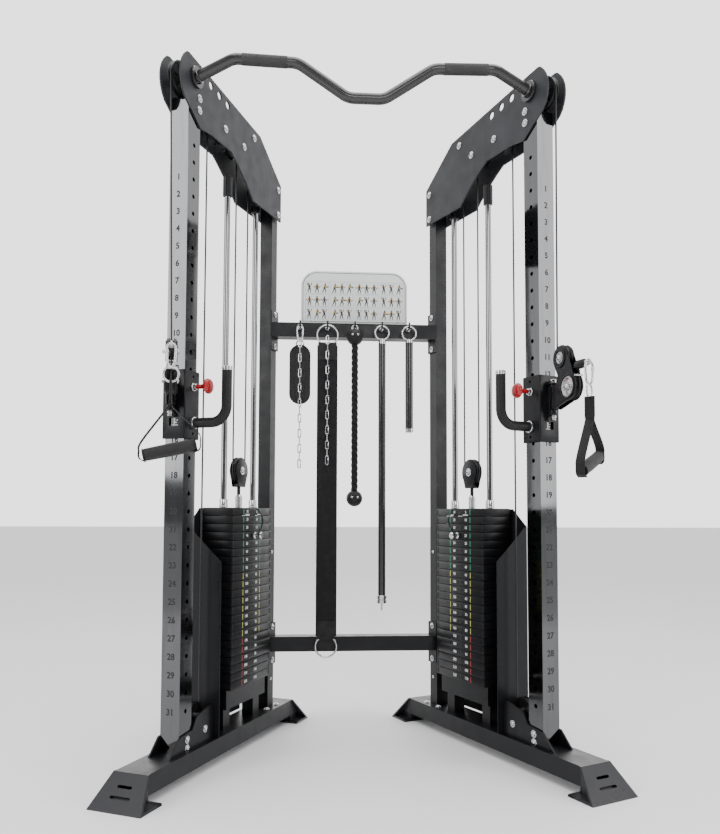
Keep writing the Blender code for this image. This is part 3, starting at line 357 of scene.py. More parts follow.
class Shape:
    """Closed shapes gathered into one mesh."""

    def __init__(self):
        self.work = bmesh.new()

    def turned(self, profile, matrix=Matrix(), segments=40, closed=False):
        """Solid turned about Z from (radius, height) points."""
        rings = []
        for radius, height in profile:
            if radius < 1e-7:
                rings.append([self.work.verts.new(matrix @ Vector((0, 0, height)))])
                continue
            ring = []
            for i in range(segments):
                a = 2 * math.pi * i / segments
                place = Vector((radius * math.cos(a), radius * math.sin(a), height))
                ring.append(self.work.verts.new(matrix @ place))
            rings.append(ring)
        pairs = list(zip(rings, rings[1:]))
        if closed:
            pairs.append((rings[-1], rings[0]))
        for first, second in pairs:
            for i in range(segments):
                j = (i + 1) % segments
                corners = [first[i % len(first)], first[j % len(first)], second[j % len(second)],
                           second[i % len(second)]]
                corners = list(dict.fromkeys(corners))
                if len(corners) > 2:
                    self.work.faces.new(corners)
        return self

    def rod(self, start, end, radius, end_radius=None, edge=0.0, segments=32):
        """Round bar between two points with softened ends."""
        axis = Vector(end) - Vector(start)
        last = radius if end_radius is None else end_radius
        profile = [(0, 0), (radius - edge, 0)]
        if edge:
            profile += [(radius, edge), (last, axis.length - edge)]
        profile += [(last - edge, axis.length), (0, axis.length)]
        return self.turned(profile, pointing(start, axis), segments)

    def sweep(self, path, section, across=None, closed=False):
        """Carry a closed section of (a, b) offsets along a path; a lies along the across direction."""
        path = [Vector(p) for p in path]
        count = len(path)
        frames = []
        side = None
        for i, point in enumerate(path):
            before = path[(i - 1) % count] if closed or i else point
            after = path[(i + 1) % count] if closed or i < count - 1 else point
            tangent = (after - before).normalized()
            if across is not None:
                side = Vector(across)
            elif side is None:
                side = tangent.orthogonal()
            side = (side - tangent * side.dot(tangent)).normalized()
            frames.append((point, side.copy(), tangent.cross(side)))
        rings = [[self.work.verts.new(p + a * s + b * o) for a, b in section] for p, s, o in frames]
        size = len(section)
        for first, second in zip(rings, rings[1:]):
            for i in range(size):
                j = (i + 1) % size
                self.work.faces.new((first[i], first[j], second[j], second[i]))
        if closed:
            last, first = rings[-1], rings[0]
            gaps = [sum((last[i].co - first[(i + k) % size].co).length for i in range(size))
                    for k in range(size)]
            twist = gaps.index(min(gaps))
            for i in range(size):
                j = (i + 1) % size
                self.work.faces.new((last[i], last[j], first[(j + twist) % size], first[(i + twist) % size]))
        else:
            self.work.faces.new(list(reversed(rings[0])))
            self.work.faces.new(rings[-1])
        return self

    def tube(self, path, radius, sides=14, closed=False):
        section = [(radius * math.cos(2 * math.pi * i / sides), radius * math.sin(2 * math.pi * i / sides))
                   for i in range(sides)]
        return self.sweep(path, section, closed=closed)

    def strap(self, path, width, thickness, across):
        """Flat band with rounded edges."""
        half, thin = width / 2 - thickness / 2, thickness / 2
        section = arc((half, 0), thin, -90, 90, 4) + arc((-half, 0), thin, 90, 270, 4)
        return self.sweep(path, section, across)

    def block(self, low, high, edge=0.001, matrix=Matrix(), segments=2):
        """Block between two corners with rounded edges."""
        low, high = Vector(low), Vector(high)
        scale = Matrix.Diagonal((*(high - low), 1))
        made = bmesh.ops.create_cube(self.work, size=1.0, matrix=Matrix.Translation((low + high) / 2) @ scale)
        verts = made["verts"]
        if edge:
            edges = list({e for v in verts for e in v.link_edges})
            bevel = bmesh.ops.bevel(self.work, geom=edges, offset=edge, segments=segments, profile=0.5,
                                    affect="EDGES", clamp_overlap=True)
            verts = list({v for f in bevel["faces"] for v in f.verts} | {v for v in verts if v.is_valid})
        bmesh.ops.transform(self.work, matrix=matrix, verts=verts)
        return self

    def plate(self, loops, thickness, matrix=Matrix(), edge=0.0004):
        """Flat plate in its own X and Y from closed outlines, the first outer and the rest holes."""
        curve = bpy.data.curves.new("plate", "CURVE")
        curve.dimensions = "2D"
        curve.fill_mode = "BOTH"
        curve.extrude = thickness / 2 - edge
        curve.bevel_depth = edge
        curve.bevel_resolution = 1
        curve.offset = -edge
        for loop in loops:
            spline = curve.splines.new("POLY")
            spline.points.add(len(loop) - 1)
            spline.use_cyclic_u = True
            for point, (x, y) in zip(spline.points, loop):
                point.co = (x, y, 0, 1)
        return self.from_curve(curve, matrix)

    def from_curve(self, curve, matrix):
        holder = bpy.data.objects.new("holder", curve)
        bpy.context.scene.collection.objects.link(holder)
        bpy.context.view_layer.update()
        mesh = bpy.data.meshes.new_from_object(holder.evaluated_get(bpy.context.evaluated_depsgraph_get()))
        mesh.transform(matrix)
        start = len(self.work.verts)
        self.work.from_mesh(mesh)
        self.work.verts.ensure_lookup_table()
        bmesh.ops.remove_doubles(self.work, verts=self.work.verts[start:], dist=1e-6)
        bpy.data.objects.remove(holder)
        bpy.data.meshes.remove(mesh)
        bpy.data.curves.remove(curve)
        return self

    def cut(self, other):
        """Take another gathered shape away from this one."""
        holders = []
        for shape in (self, other):
            bmesh.ops.recalc_face_normals(shape.work, faces=shape.work.faces)
            mesh = bpy.data.meshes.new("holder")
            shape.work.to_mesh(mesh)
            holders.append(bpy.data.objects.new("holder", mesh))
            bpy.context.scene.collection.objects.link(holders[-1])
        boolean = holders[0].modifiers.new("cut", "BOOLEAN")
        boolean.operation, boolean.solver, boolean.object = "DIFFERENCE", "EXACT", holders[1]
        depsgraph = bpy.context.evaluated_depsgraph_get()
        mesh = bpy.data.meshes.new_from_object(holders[0].evaluated_get(depsgraph))
        self.work.clear()
        self.work.from_mesh(mesh)
        for holder in holders:
            used = holder.data
            bpy.data.objects.remove(holder)
            bpy.data.meshes.remove(used)
        bpy.data.meshes.remove(mesh)
        other.work.free()
        return self

    def text(self, words, height, matrix, bold=0.0):
        curve = bpy.data.curves.new("number", "FONT")
        curve.offset = bold
        curve.body = words
        curve.size = height * 1.4
        curve.extrude = 0.0002
        curve.align_x = "CENTER"
        curve.align_y = "CENTER"
        curve.resolution_u = 3
        return self.from_curve(curve, matrix)

    def bolt(self, place, direction, radius=0.0075, washer=True, dome=True):
        """Dome or hex head on a washer, standing on a face."""
        matrix = pointing(place, direction)
        rise = 0.0
        if washer:
            wide = radius * 1.55
            self.turned([(0, 0), (wide, 0), (wide, 0.0012), (wide - 0.0006, 0.0018), (0, 0.0018)], matrix, 28)
            rise = 0.0018
        if dome:
            height = radius * 0.75
            crown = [(radius * math.cos(math.radians(a)), rise + height * math.sin(math.radians(a)))
                     for a in range(0, 75, 15)]
            self.turned([(0, rise)] + crown + [(radius * 0.28, rise + height * 0.97),
                        (radius * 0.26, rise + height * 0.6), (0, rise + height * 0.6)], matrix, 28)
        else:
            high = radius * 1.1
            self.turned([(0, rise), (radius, rise), (radius, rise + high - 0.001),
                         (radius * 0.86, rise + high), (0, rise + high)], matrix, 6)
        return self

    def chain(self, top, count, link_length=0.033, width=0.019, wire=0.0019):
        """Hanging chain of oval links, each a quarter turn from the last."""
        pitch = link_length - 4 * wire
        straight = (link_length - width) / 2
        for i in range(count):
            z = top[2] - i * pitch - link_length / 2
            bend = width / 2 - wire
            oval = arc((0, straight), bend, 0, 180, 8) + arc((0, -straight), bend, 180, 360, 8)
            flat = i % 2 == 0
            path = [(top[0] + (a if flat else 0), top[1] + (0 if flat else a), z + b) for a, b in oval]
            self.tube(path, wire, 8, closed=True)
        return self

    def install(self, name, finish, body, matrix=Matrix(), mirror=False, replaces=(), slot=None, angle=35):
        """Make the gathered shapes one piece that rides on a body."""
        bmesh.ops.recalc_face_normals(self.work, faces=self.work.faces)
        mesh = bpy.data.meshes.new(name)
        self.work.to_mesh(mesh)
        self.work.free()
        if mirror:
            mesh.transform(Matrix.Scale(-1, 4, (0, 1, 0)))
            mesh.flip_normals()
        mesh.transform(matrix)
        mesh.shade_smooth()
        mesh.set_sharp_from_angle(angle=math.radians(angle))
        mesh.materials.append(finish.material)
        piece = bpy.data.objects.new(name, mesh)
        bpy.context.scene.collection.objects.link(piece)
        if body:
            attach(piece, body)
        if replaces:
            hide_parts(*replaces)
        return piece


def on_tower(shape, label, name, finish, body="frame", replaces=(), slot=None):
    """Install a right-hand tower's piece on either tower."""
    return shape.install(f"{label}_{name}", finish, body, TOWER[name], SIDES[name] < 0, replaces, slot)


def on_swivel(shape, label, name, finish, body, replaces=(), slot=None):
    """Install a right-hand swivel's piece on either swivel."""
    return shape.install(f"{label}_{name}", finish, body, SWIVEL[name], SIDES[name] < 0, replaces, slot)


# ---------------------------------------------------------------- frame nodes that keep their shape
def dress(node, finish, edge=0.0007):
    """Give a frame node its finish and soften its edges."""
    piece = frame["nodes"][node]
    piece.data.materials.clear()
    piece.data.materials.append(finish.material)
    bevel = piece.modifiers.new("soft_edges", "BEVEL")
    bevel.width = edge
    bevel.segments = 2
    bevel.limit_method = "ANGLE"
    bevel.angle_limit = math.radians(50)
    bevel.use_clamp_overlap = True


def base_finish(name):
    """Runner paint with the lighter paint of the two bent feet."""
    made = powder(f"base_paint_{name}", BLACK.color, BLACK.roughness, 900.0)
    forward = TOWER[name].col[0].to_3d()
    middle = TOWER[name] @ Vector((0.032, 0, 0))
    along = made.node("ShaderNodeVectorMath", [(0, made.coordinates)], operation="DOT_PRODUCT")
    along.inputs[1].default_value = forward
    reach = made.math("ABSOLUTE", made.math("SUBTRACT", along.outputs["Value"], middle.dot(forward)), 0.0)
    foot = made.math("GREATER_THAN", reach, 0.420)
    return made.mask_color(foot, (0.026, 0.026, 0.029))


def dress_frame():
    for name in SIDES:
        dress(f"base_{name}", base_finish(name), 0.0009)
        dress(f"front_upright_{name}", CHROME, 0.0012)
        dress(f"rear_upright_{name}", BLACK, 0.0020)
        dress(f"boom_inner_plate_{name}", CHARCOAL, 0.0006)
        dress(f"boom_outer_plate_{name}", CHARCOAL, 0.0006)
        dress(f"shroud_{name}", SHEET, 0.0004)
    dress("crossbar_upper", BLACK, 0.0012)
    dress("crossbar_lower", BLACK, 0.0020)


# ---------------------------------------------------------------- tower trim
BOOM_BOLTS = ((0.267, 2.005), (0.241, 1.934), (0.241, 1.899), (0.092, 1.915), (-0.092, 1.972),
              (-0.025, 1.912), (-0.274, 1.869), (-0.275, 1.781))
GUSSET_BOLTS = ((0.163, 0.116), (0.255, 0.109), (0.256, 0.086))
INWARD = (0, -1, 0)
OUTWARD = (0, 1, 0)


def bolts(name):
    """Bolts of the booms, gussets, crossbar flanges and the rear upright's pegs."""
    shape = Shape()
    for u, z in BOOM_BOLTS:
        shape.bolt((u, -PLATE_FACE, z), INWARD)
        shape.bolt((u, PLATE_FACE, z), OUTWARD, dome=False)
    for u, z in GUSSET_BOLTS:
        shape.bolt((u, -PLATE_FACE, z), INWARD, 0.007)
        shape.bolt((u, PLATE_FACE, z), OUTWARD, 0.007, dome=False)
    flange = -0.0278
    for height in (UPPER_BAR_Z, 0.290):
        for rise in (-0.056, 0.056):
            shape.bolt((-0.273, flange, height + rise), INWARD, 0.0065)
    for height in (0.170, 0.600):
        shape.bolt((-0.273, -0.0227, height), INWARD, 0.0060, washer=False)
    for u in (-0.306, -0.236):
        shape.bolt((u, -0.028, 0.0772), (0, 0, 1), 0.0065)
    on_tower(shape, "frame_bolts", name, ZINC)


def boom_spacers(name):
    """Sleeves between the boom plates round each bolt, and the pulley axles."""
    shape = Shape()
    inner = PLATE_FACE - 0.0052
    for u, z in BOOM_BOLTS[3:6]:
        shape.rod((u, -inner, z), (u, inner, z), 0.0055)
    for u, z, _ in (TOP_FRONT, TOP_REAR, IDLER_REAR, IDLER_FRONT, LOW):
        shape.rod((u, -inner, z), (u, inner, z), 0.0055)
        for sign in (-1, 1):
            shape.rod((u, sign * 0.0096, z), (u, sign * inner, z), 0.0095)
    on_tower(shape, "boom_axles", name, ZINC)


def post_numbers(name):
    """Numbers from 1 down the post's front face, one for each adjustment hole."""
    shape = Shape()
    face = UPRIGHT_U + UPRIGHT_HALF
    across = Matrix(((0, 0, 1, face), (1, 0, 0, 0), (0, 1, 0, 0), (0, 0, 0, 1)))
    for i in range(NUMBERS):
        lift = Matrix.Translation((0, 0, NUMBER_ONE_Z - i * HOLE_PITCH))
        shape.text(str(i + 1), 0.0175, lift @ across, 0.0007)
    shape.install(f"post_numbers_{name}", ENGRAVED, "frame", TOWER[name])


def guide_rods(name):
    """Polished rods with the dark tubes that hold their tops."""
    tops = {"front": (ROD_FRONT_U, 1.737, 1.800), "rear": (ROD_REAR_U, 1.752, 1.775)}
    sockets = Shape()
    for label, (u, low, high) in tops.items():
        shape = Shape().rod((u, 0, STACK_BOTTOM), (u, 0, high - 0.004), 0.0095, segments=40)
        on_tower(shape, f"polished_rod_{label}", name, ROD_CHROME, "frame", [f"guide_rod_{label}_{name}"],
                 "chrome")
        sockets.rod((u, 0, low), (u, 0, high), 0.0150, edge=0.0012, segments=40)
    on_tower(sockets, "rod_sockets", name, BLACK)


def rows(first, last):
    """Weight plates between two row numbers, counted from the bottom."""
    shape = Shape()
    for i in range(first, last):
        low = STACK_BOTTOM + i * ROW_PITCH
        shape.block((STACK_U - STACK_HALF, -STACK_HALF_WIDTH, low + 0.0003),
                    (STACK_U + STACK_HALF, STACK_HALF_WIDTH, low + ROW_PITCH - 0.0007), 0.0016)
        for u in (STACK_U - STACK_HALF + 0.006, STACK_U + STACK_HALF - 0.006):
            shape.block((u - 0.0015, -STACK_HALF_WIDTH - 0.0006, low + 0.003),
                        (u + 0.0015, -STACK_HALF_WIDTH + 0.001, low + ROW_PITCH - 0.004), 0.0003)
    return shape


def weights(name):
    """The stack that stays down and the lifted head, with bushings, stem, pulley covers and selector rod."""
    head = f"weights_{name}"
    split = ROWS - LIFTED_ROWS
    on_tower(rows(0, split), "stack_plates", name, IRON, "frame", [f"weight_stack_{name}"], "weight_iron")
    on_tower(rows(split, ROWS), "head_plates", name, IRON, head, [f"weight_head_{name}"], "weight_iron")
    chrome_parts = Shape()
    for u in (ROD_FRONT_U, ROD_REAR_U):
        chrome_parts.turned([(0.0102, 0), (0.0145, 0), (0.0145, 0.004), (0.0135, 0.005), (0.0135, 0.024),
                             (0.0125, 0.026), (0.0102, 0.026)], Matrix.Translation((u, 0, STACK_TOP)),
                            closed=True)
    chrome_parts.turned([(0, 0), (0.0115, 0), (0.0115, 0.036), (0.0070, 0.042), (0, 0.042)],
                        Matrix.Translation((STACK_U, 0, STACK_TOP)))
    chrome_parts.rod((STACK_U, 0, STACK_BOTTOM + 0.004), (STACK_U, 0, STACK_TOP - 4 * ROW_PITCH), 0.009)
    chrome_parts.bolt((STACK_U, -0.0128, FLOATING[1]), INWARD, 0.0085)
    chrome_parts.bolt((STACK_U, 0.0128, FLOATING[1]), OUTWARD, 0.0085, dome=False)
    on_tower(chrome_parts, "head_chrome", name, ZINC, head)
    dark = Shape().rod((STACK_U, 0, STACK_TOP + 0.040), (STACK_U, 0, COVER_FOOT + 0.004), 0.0055)
    dark.block((STACK_U - 0.019, -0.0095, COVER_FOOT + 0.001),
               (STACK_U + 0.019, 0.0095, COVER_FOOT + 0.005), 0.001)
    for w in (-0.011, 0.011):
        loop = arc((STACK_U, FLOATING[1]), FLOATING[2] - 0.001, -35, 215, 40)
        loop += [(STACK_U - 0.0225, COVER_FOOT + 0.003), (STACK_U - 0.0195, COVER_FOOT),
                 (STACK_U + 0.0195, COVER_FOOT), (STACK_U + 0.0225, COVER_FOOT + 0.003)]
        dark.plate([loop], 0.0032, Matrix.Translation((0, w, 0)) @ STAND_UP, 0.0009)
    on_tower(dark, "floating_cover", name, BLACK, head)


def stack_labels(name):
    """Row weights, pin holes and coloured tier bars on the stack's inner face."""
    side = SIDES[name]
    face = STACK_HALF_WIDTH + 0.0001
    turn = Matrix(((side, 0, 0, 0), (0, 0, -side, -side * face), (0, 1, 0, 0), (0, 0, 0, 1)))
    split = ROWS - LIFTED_ROWS
    for label, first, last, body in (("stack", 0, split, "frame"), ("head", split, ROWS, f"weights_{name}")):
        figures = Shape()
        holes = Shape()
        tiers = {tier: Shape() for tier in BARS}
        for i in range(first, last):
            z = STACK_BOTTOM + (i + 0.5) * ROW_PITCH
            number = ROWS - i
            tier = "green" if number <= 8 else "yellow" if number <= 16 else "red"
            for offset, value in ((-0.0315, number * 10), (0.0315, number * 5)):
                place = Matrix.Translation((LABEL_U, 0, z)) @ turn @ Matrix.Translation((offset, 0, 0))
                figures.text(str(value), 0.0088, place, 0.0002)
            if i == ROWS - 1:
                for offset in (-0.048, 0.030):
                    figures.block((LABEL_U + offset - 0.013, -side * face - 0.0002, z - 0.0108),
                                  (LABEL_U + offset + 0.013, -side * face + 0.0002, z - 0.0075), 0)
            columns = (-0.0545, 0.0545) if number <= 16 else (0.0545,)
            for offset in columns:
                tiers[tier].block((LABEL_U + offset - 0.0013, -side * face - 0.0002, z - 0.0090),
                                  (LABEL_U + offset + 0.0013, -side * face + 0.0002, z + 0.0090), 0)
            if number != LIFTED_ROWS:
                ring = pointing((LABEL_U - 0.002, -side * (face - 0.0003), z), (0, -side, 0))
                lip = [(0, 0.0004), (0.0045, 0.0004), (0.0058, 0.0011), (0.0066, 0.0002), (0, 0.0002)]
                holes.turned(lip, ring, 24)
        figures.install(f"{label}_figures_{name}", MARK_WHITE, body, TOWER[name])
        holes.install(f"{label}_pin_holes_{name}", ENGRAVED, body, TOWER[name])
        for tier, shape in tiers.items():
            if shape.work.verts:
                shape.install(f"{label}_{tier}_bars_{name}", BARS[tier], body, TOWER[name])


def selector_pin(name):
    """Selector pin with a waisted knob, and the coiled tether from it to the head plate."""
    matrix = pointing((STACK_U, -STACK_HALF_WIDTH, SELECTOR_Z), INWARD)
    profile = [(0, -0.067), (0.0030, -0.067), (0.0045, -0.064), (0.0045, 0.001), (0.0085, 0.001),
               (0.0105, 0.003), (0.0105, 0.009), (0.0070, 0.013), (0.0070, 0.022), (0.0105, 0.026),
               (0.0112, 0.030), (0.0080, 0.034), (0, 0.034)]
    pin = f"selector_pin_{name}"
    on_tower(Shape().turned(profile, matrix), "pin_and_knob", name, WIRE, pin, [pin], "chrome")
    start = Vector((STACK_U, -STACK_HALF_WIDTH - 0.018, SELECTOR_Z + 0.006))
    end = Vector((STACK_U - 0.030, -STACK_HALF_WIDTH + 0.004, STACK_TOP + 0.002))
    turns, samples = 26, 10
    path = []
    for i in range(turns * samples + 1):
        t = i / (turns * samples)
        place = start.lerp(end, t) + Vector((-0.020, -0.010, 0)) * math.sin(math.pi * t)
        a = 2 * math.pi * i / samples
        grow = 0.0024 * min(1, 12 * t, 12 * (1 - t))
        path.append(place + Vector((grow * math.cos(a), grow * math.sin(a), 0)))
    tether = on_tower(Shape().tube(path, 0.0009, 6), "pin_tether", name, NYLON, None)
    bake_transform(tether)


# ---------------------------------------------------------------- pulleys and cable
PULLEY_RIBS = 6


def pulley(shape, centre, radius, bore=0.0065):
    """Moulded pulley about the local Y axis with a deep groove, a dished web and a raised hub."""
    half, rim, groove = 0.0090, radius + 0.0045, radius - 0.0031
    face = [(bore, half), (0.0110, half), (0.0122, half - 0.0028), (rim - 0.0075, half - 0.0028),
            (rim - 0.0062, half - 0.0003), (rim - 0.0016, half), (rim - 0.0004, half - 0.0006),
            (rim, half - 0.0018), (rim - 0.0008, 0.0064), (radius, 0.0040), (groove + 0.0007, 0.0022)]
    profile = face + [(groove, 0)] + [(r, -z) for r, z in reversed(face)]
    x, z = centre
    matrix = Matrix.Translation((x, 0, z)) @ Matrix.Rotation(math.radians(-90), 4, "X")
    shape.turned(profile, matrix, 56, closed=True)
    for i in range(PULLEY_RIBS):
        a = 2 * math.pi * i / PULLEY_RIBS
        for sign in (-1, 1):
            spoke = matrix @ Matrix.Rotation(a, 4, "Z")
            low, high = sorted((sign * (half - 0.0035), sign * (half - 0.0012)))
            shape.block((0.0105, -0.0012, low), (rim - 0.0068, 0.0012, high), 0.0004, spoke, 1)
    return shape


def pulleys(name):
    fixed = {"top_front_pulley": TOP_FRONT, "top_rear_pulley": TOP_REAR, "idler_rear": IDLER_REAR,
             "idler_front": IDLER_FRONT, "low_pulley": LOW, "floating_pulley": FLOATING}
    for label, (u, z, radius) in fixed.items():
        node = f"{label}_{name}"
        wheel = pulley(Shape(), (u, z), radius)
        on_tower(wheel, f"{label}_wheel", name, NYLON, node, [node], "pulley_nylon")
    turning = {"swivel_pulley_upper": SWIVEL_UP, "swivel_pulley_lower": SWIVEL_LOW}
    for label, (x, z, radius) in turning.items():
        node = f"{label}_{name}"
        wheel = pulley(Shape(), (x, z), radius, 0.0057)
        on_swivel(wheel, f"{label}_wheel", name, NYLON, node, [node], "pulley_nylon")


def tangent(first, second):
    """Angle at which a straight run over two pulleys leaves the first and meets the second."""
    run = Vector((second[0] - first[0], second[1] - first[1]))
    lean = math.asin((second[2] - first[2]) / run.length)
    return math.degrees(math.atan2(run.y, run.x) + math.pi / 2 + lean)


def in_plane(points):
    return [Vector((x, 0, z)) for x, z in points]


def exit_height(name, x):
    level = SWIVEL_UP[1] - SWIVEL_UP[2]
    return level + EXIT_LIFT[name] * (x - SWIVEL_UP[0]) / (EYE_X - SWIVEL_UP[0])


def cable(name):
    """The whole cable, split where it meets a moving body; the spans between bodies are baked in place and
    ride on none.
    """
    flip = Matrix.Scale(SIDES[name], 4, (0, 1, 0))
    frame_to = TOWER[name] @ flip
    swivel_local = frame_to.inverted() @ SWIVEL[name] @ flip
    anchor = Vector((LOW[0] + LOW[2], 0, CARRIAGE_BOTTOM + 0.0045))
    between = tangent(IDLER_REAR, IDLER_FRONT)
    over = tangent(TOP_REAR, TOP_FRONT)
    low_wrap = in_plane(arc(LOW[:2], LOW[2], -180, 0, 30))
    idlers = in_plane(arc(IDLER_REAR[:2], IDLER_REAR[2], 180, between, 16)
                      + arc(IDLER_FRONT[:2], IDLER_FRONT[2], between, 0, 16))
    lift = in_plane(arc(FLOATING[:2], FLOATING[2], 180, 360, 36))
    tops = in_plane(arc(TOP_REAR[:2], TOP_REAR[2], 180, over, 16)
                    + arc(TOP_FRONT[:2], TOP_FRONT[2], over, 0, 20))
    reach = [swivel_local @ Vector((x, 0, z)) for x, z in arc(SWIVEL_UP, SWIVEL_UP[2], 180, 270, 18)]
    near = swivel_local @ Vector((STOPPER[0], 0, exit_height(name, STOPPER[0])))
    joint = tops[-1].lerp(reach[0], (tops[-1].z - 1.35) / (tops[-1].z - reach[0].z))

    def fixed(path, label, body, replaces=()):
        span = Shape().tube(path, CABLE_RADIUS, 14)
        return on_tower(span, f"cable_{label}", name, SHEATH, body, replaces, "cable_sheath")

    def stretched(path, label):
        piece = fixed(path, label, None)
        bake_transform(piece)

    fixed(idlers + low_wrap, "idler_run", "frame", [f"cable_{name}"])
    fixed(tops, "top_run", "frame")
    fixed(lift, "lift_wrap", f"weights_{name}")
    fixed(reach + [near.lerp(reach[-1], 0.02), near], "outlet", f"swivel_{name}")
    stretched([low_wrap[-1], anchor], "carriage_rise")
    stretched([tops[0], lift[0]], "lift_rear")
    stretched([idlers[0], lift[-1]], "lift_front")
    stretched([tops[-1], joint], "front_drop")
    stretched([joint, reach[0]], "front_drop_low")


# ---------------------------------------------------------------- carriage, handle and swivel
def rounded_square(half, corner, steps=6):
    loop = []
    for sx, sy, start in ((1, 1, 0), (-1, 1, 90), (-1, -1, 180), (1, -1, 270)):
        loop += arc((sx * (half - corner), sy * (half - corner)), corner, start, start + 90, steps)
    return loop


def carriage(name):
    """Sliding sleeve with its number window, hinge ears, pivot bolt, pin barrel and cable anchor."""
    body = f"carriage_{name}"
    middle = (CARRIAGE_TOP + CARRIAGE_BOTTOM) / 2
    walls = [rounded_square(CARRIAGE_HALF, 0.004), rounded_square(CARRIAGE_HALF - CARRIAGE_WALL, 0.002)]
    shape = Shape().plate(walls, CARRIAGE_TOP - CARRIAGE_BOTTOM, Matrix.Translation((UPRIGHT_U, 0, middle)),
                          0.0009)
    window = Shape().block((UPRIGHT_U + 0.030, -0.0145, 0.9755), (UPRIGHT_U + 0.050, 0.0145, 0.9985), 0.0)
    for height in (0.9555, 1.1170):
        window.rod((UPRIGHT_U - 0.004, -CARRIAGE_HALF - 0.004, height),
                   (UPRIGHT_U - 0.004, -CARRIAGE_HALF + 0.0035, height), 0.0042)
    shape.cut(window)
    for low in (1.016, 1.104):
        ear = [(UPRIGHT_U + CARRIAGE_HALF - 0.001, -0.014)] + arc((PIVOT_U, 0), 0.014, -90, 90, 18)
        ear.append((UPRIGHT_U + CARRIAGE_HALF - 0.001, 0.014))
        shape.plate([ear], 0.004, Matrix.Translation((0, 0, low + 0.002)), 0.0006)
    shape.block((LOW[0] + LOW[2] - 0.006, -0.009, CARRIAGE_BOTTOM + 0.005),
                (UPRIGHT_U - CARRIAGE_HALF + 0.001, 0.009, CARRIAGE_BOTTOM + 0.025), 0.001)
    on_tower(shape, "carriage_sleeve", name, BLACK, body, [f"carriage_{name}"], "black_powder")
    metal = Shape()
    metal.rod((PIVOT_U, 0, 1.001), (PIVOT_U, 0, 1.116), 0.0050)
    metal.turned([(0.0095, 0), (0.0095, 0.006), (0.0050, 0.006), (0.0050, 0)],
                 Matrix.Translation((PIVOT_U, 0, 1.1085)), 6, closed=True)
    for low, high, radius in ((1.0085, 1.0150, 0.0090), (1.0010, 1.0065, 0.0080), (1.1145, 1.1180, 0.0105)):
        sides = 6 if radius < 0.01 else 28
        metal.rod((PIVOT_U, 0, low), (PIVOT_U, 0, high), radius, edge=0.0008, segments=sides)
    face = -CARRIAGE_HALF
    metal.rod((UPRIGHT_U, face, POP_PIN_Z), (UPRIGHT_U, face - 0.006, POP_PIN_Z), 0.0125, edge=0.001,
              segments=6)
    metal.rod((UPRIGHT_U, face - 0.005, POP_PIN_Z), (UPRIGHT_U, face - 0.0135, POP_PIN_Z), 0.0090, edge=0.001)
    u, w, foot = UPRIGHT_U - 0.002, -0.146, 0.985
    metal.rod((u, face, foot), (u, face - 0.010, foot), 0.0175, edge=0.0015)
    metal.rod((u, w, 1.1275), (u, w, 1.1400), 0.0149, edge=0.0015)
    on_tower(metal, "carriage_metal", name, ZINC, body)
    bend = rounded([(u, face - 0.002, foot), (u, w, foot), (u, w, 1.1300)], 0.046, 18)
    grip = Shape().tube(bend, 0.0142, 28)
    on_tower(grip, "j_grip", name, RUBBER, body, [f"j_handle_{name}"], "grip_rubber")


def pop_pin(name):
    """Mushroom knob on its stem, with the plunger behind it."""
    matrix = pointing((UPRIGHT_U, -CARRIAGE_HALF, POP_PIN_Z), INWARD)
    dome = [(0.0220 * math.sin(math.radians(a)), 0.0500 + 0.0130 * math.cos(math.radians(a)))
            for a in range(90, 0, -10)]
    profile = [(0, 0.0145), (0.0062, 0.0145), (0.0064, 0.0300), (0.0078, 0.0380), (0.0120, 0.0430),
               (0.0190, 0.0460), (0.0215, 0.0480)] + dome + [(0, 0.0630)]
    body = f"pop_pin_{name}"
    on_tower(Shape().turned(profile, matrix), "red_knob", name, RED, body, [body], "red_plastic")
    plunger = Shape().rod((UPRIGHT_U, -CARRIAGE_HALF - 0.016, POP_PIN_Z),
                          (UPRIGHT_U, -CARRIAGE_HALF + 0.0064, POP_PIN_Z), 0.0048, edge=0.001)
    on_tower(plunger, "plunger", name, WIRE, body)


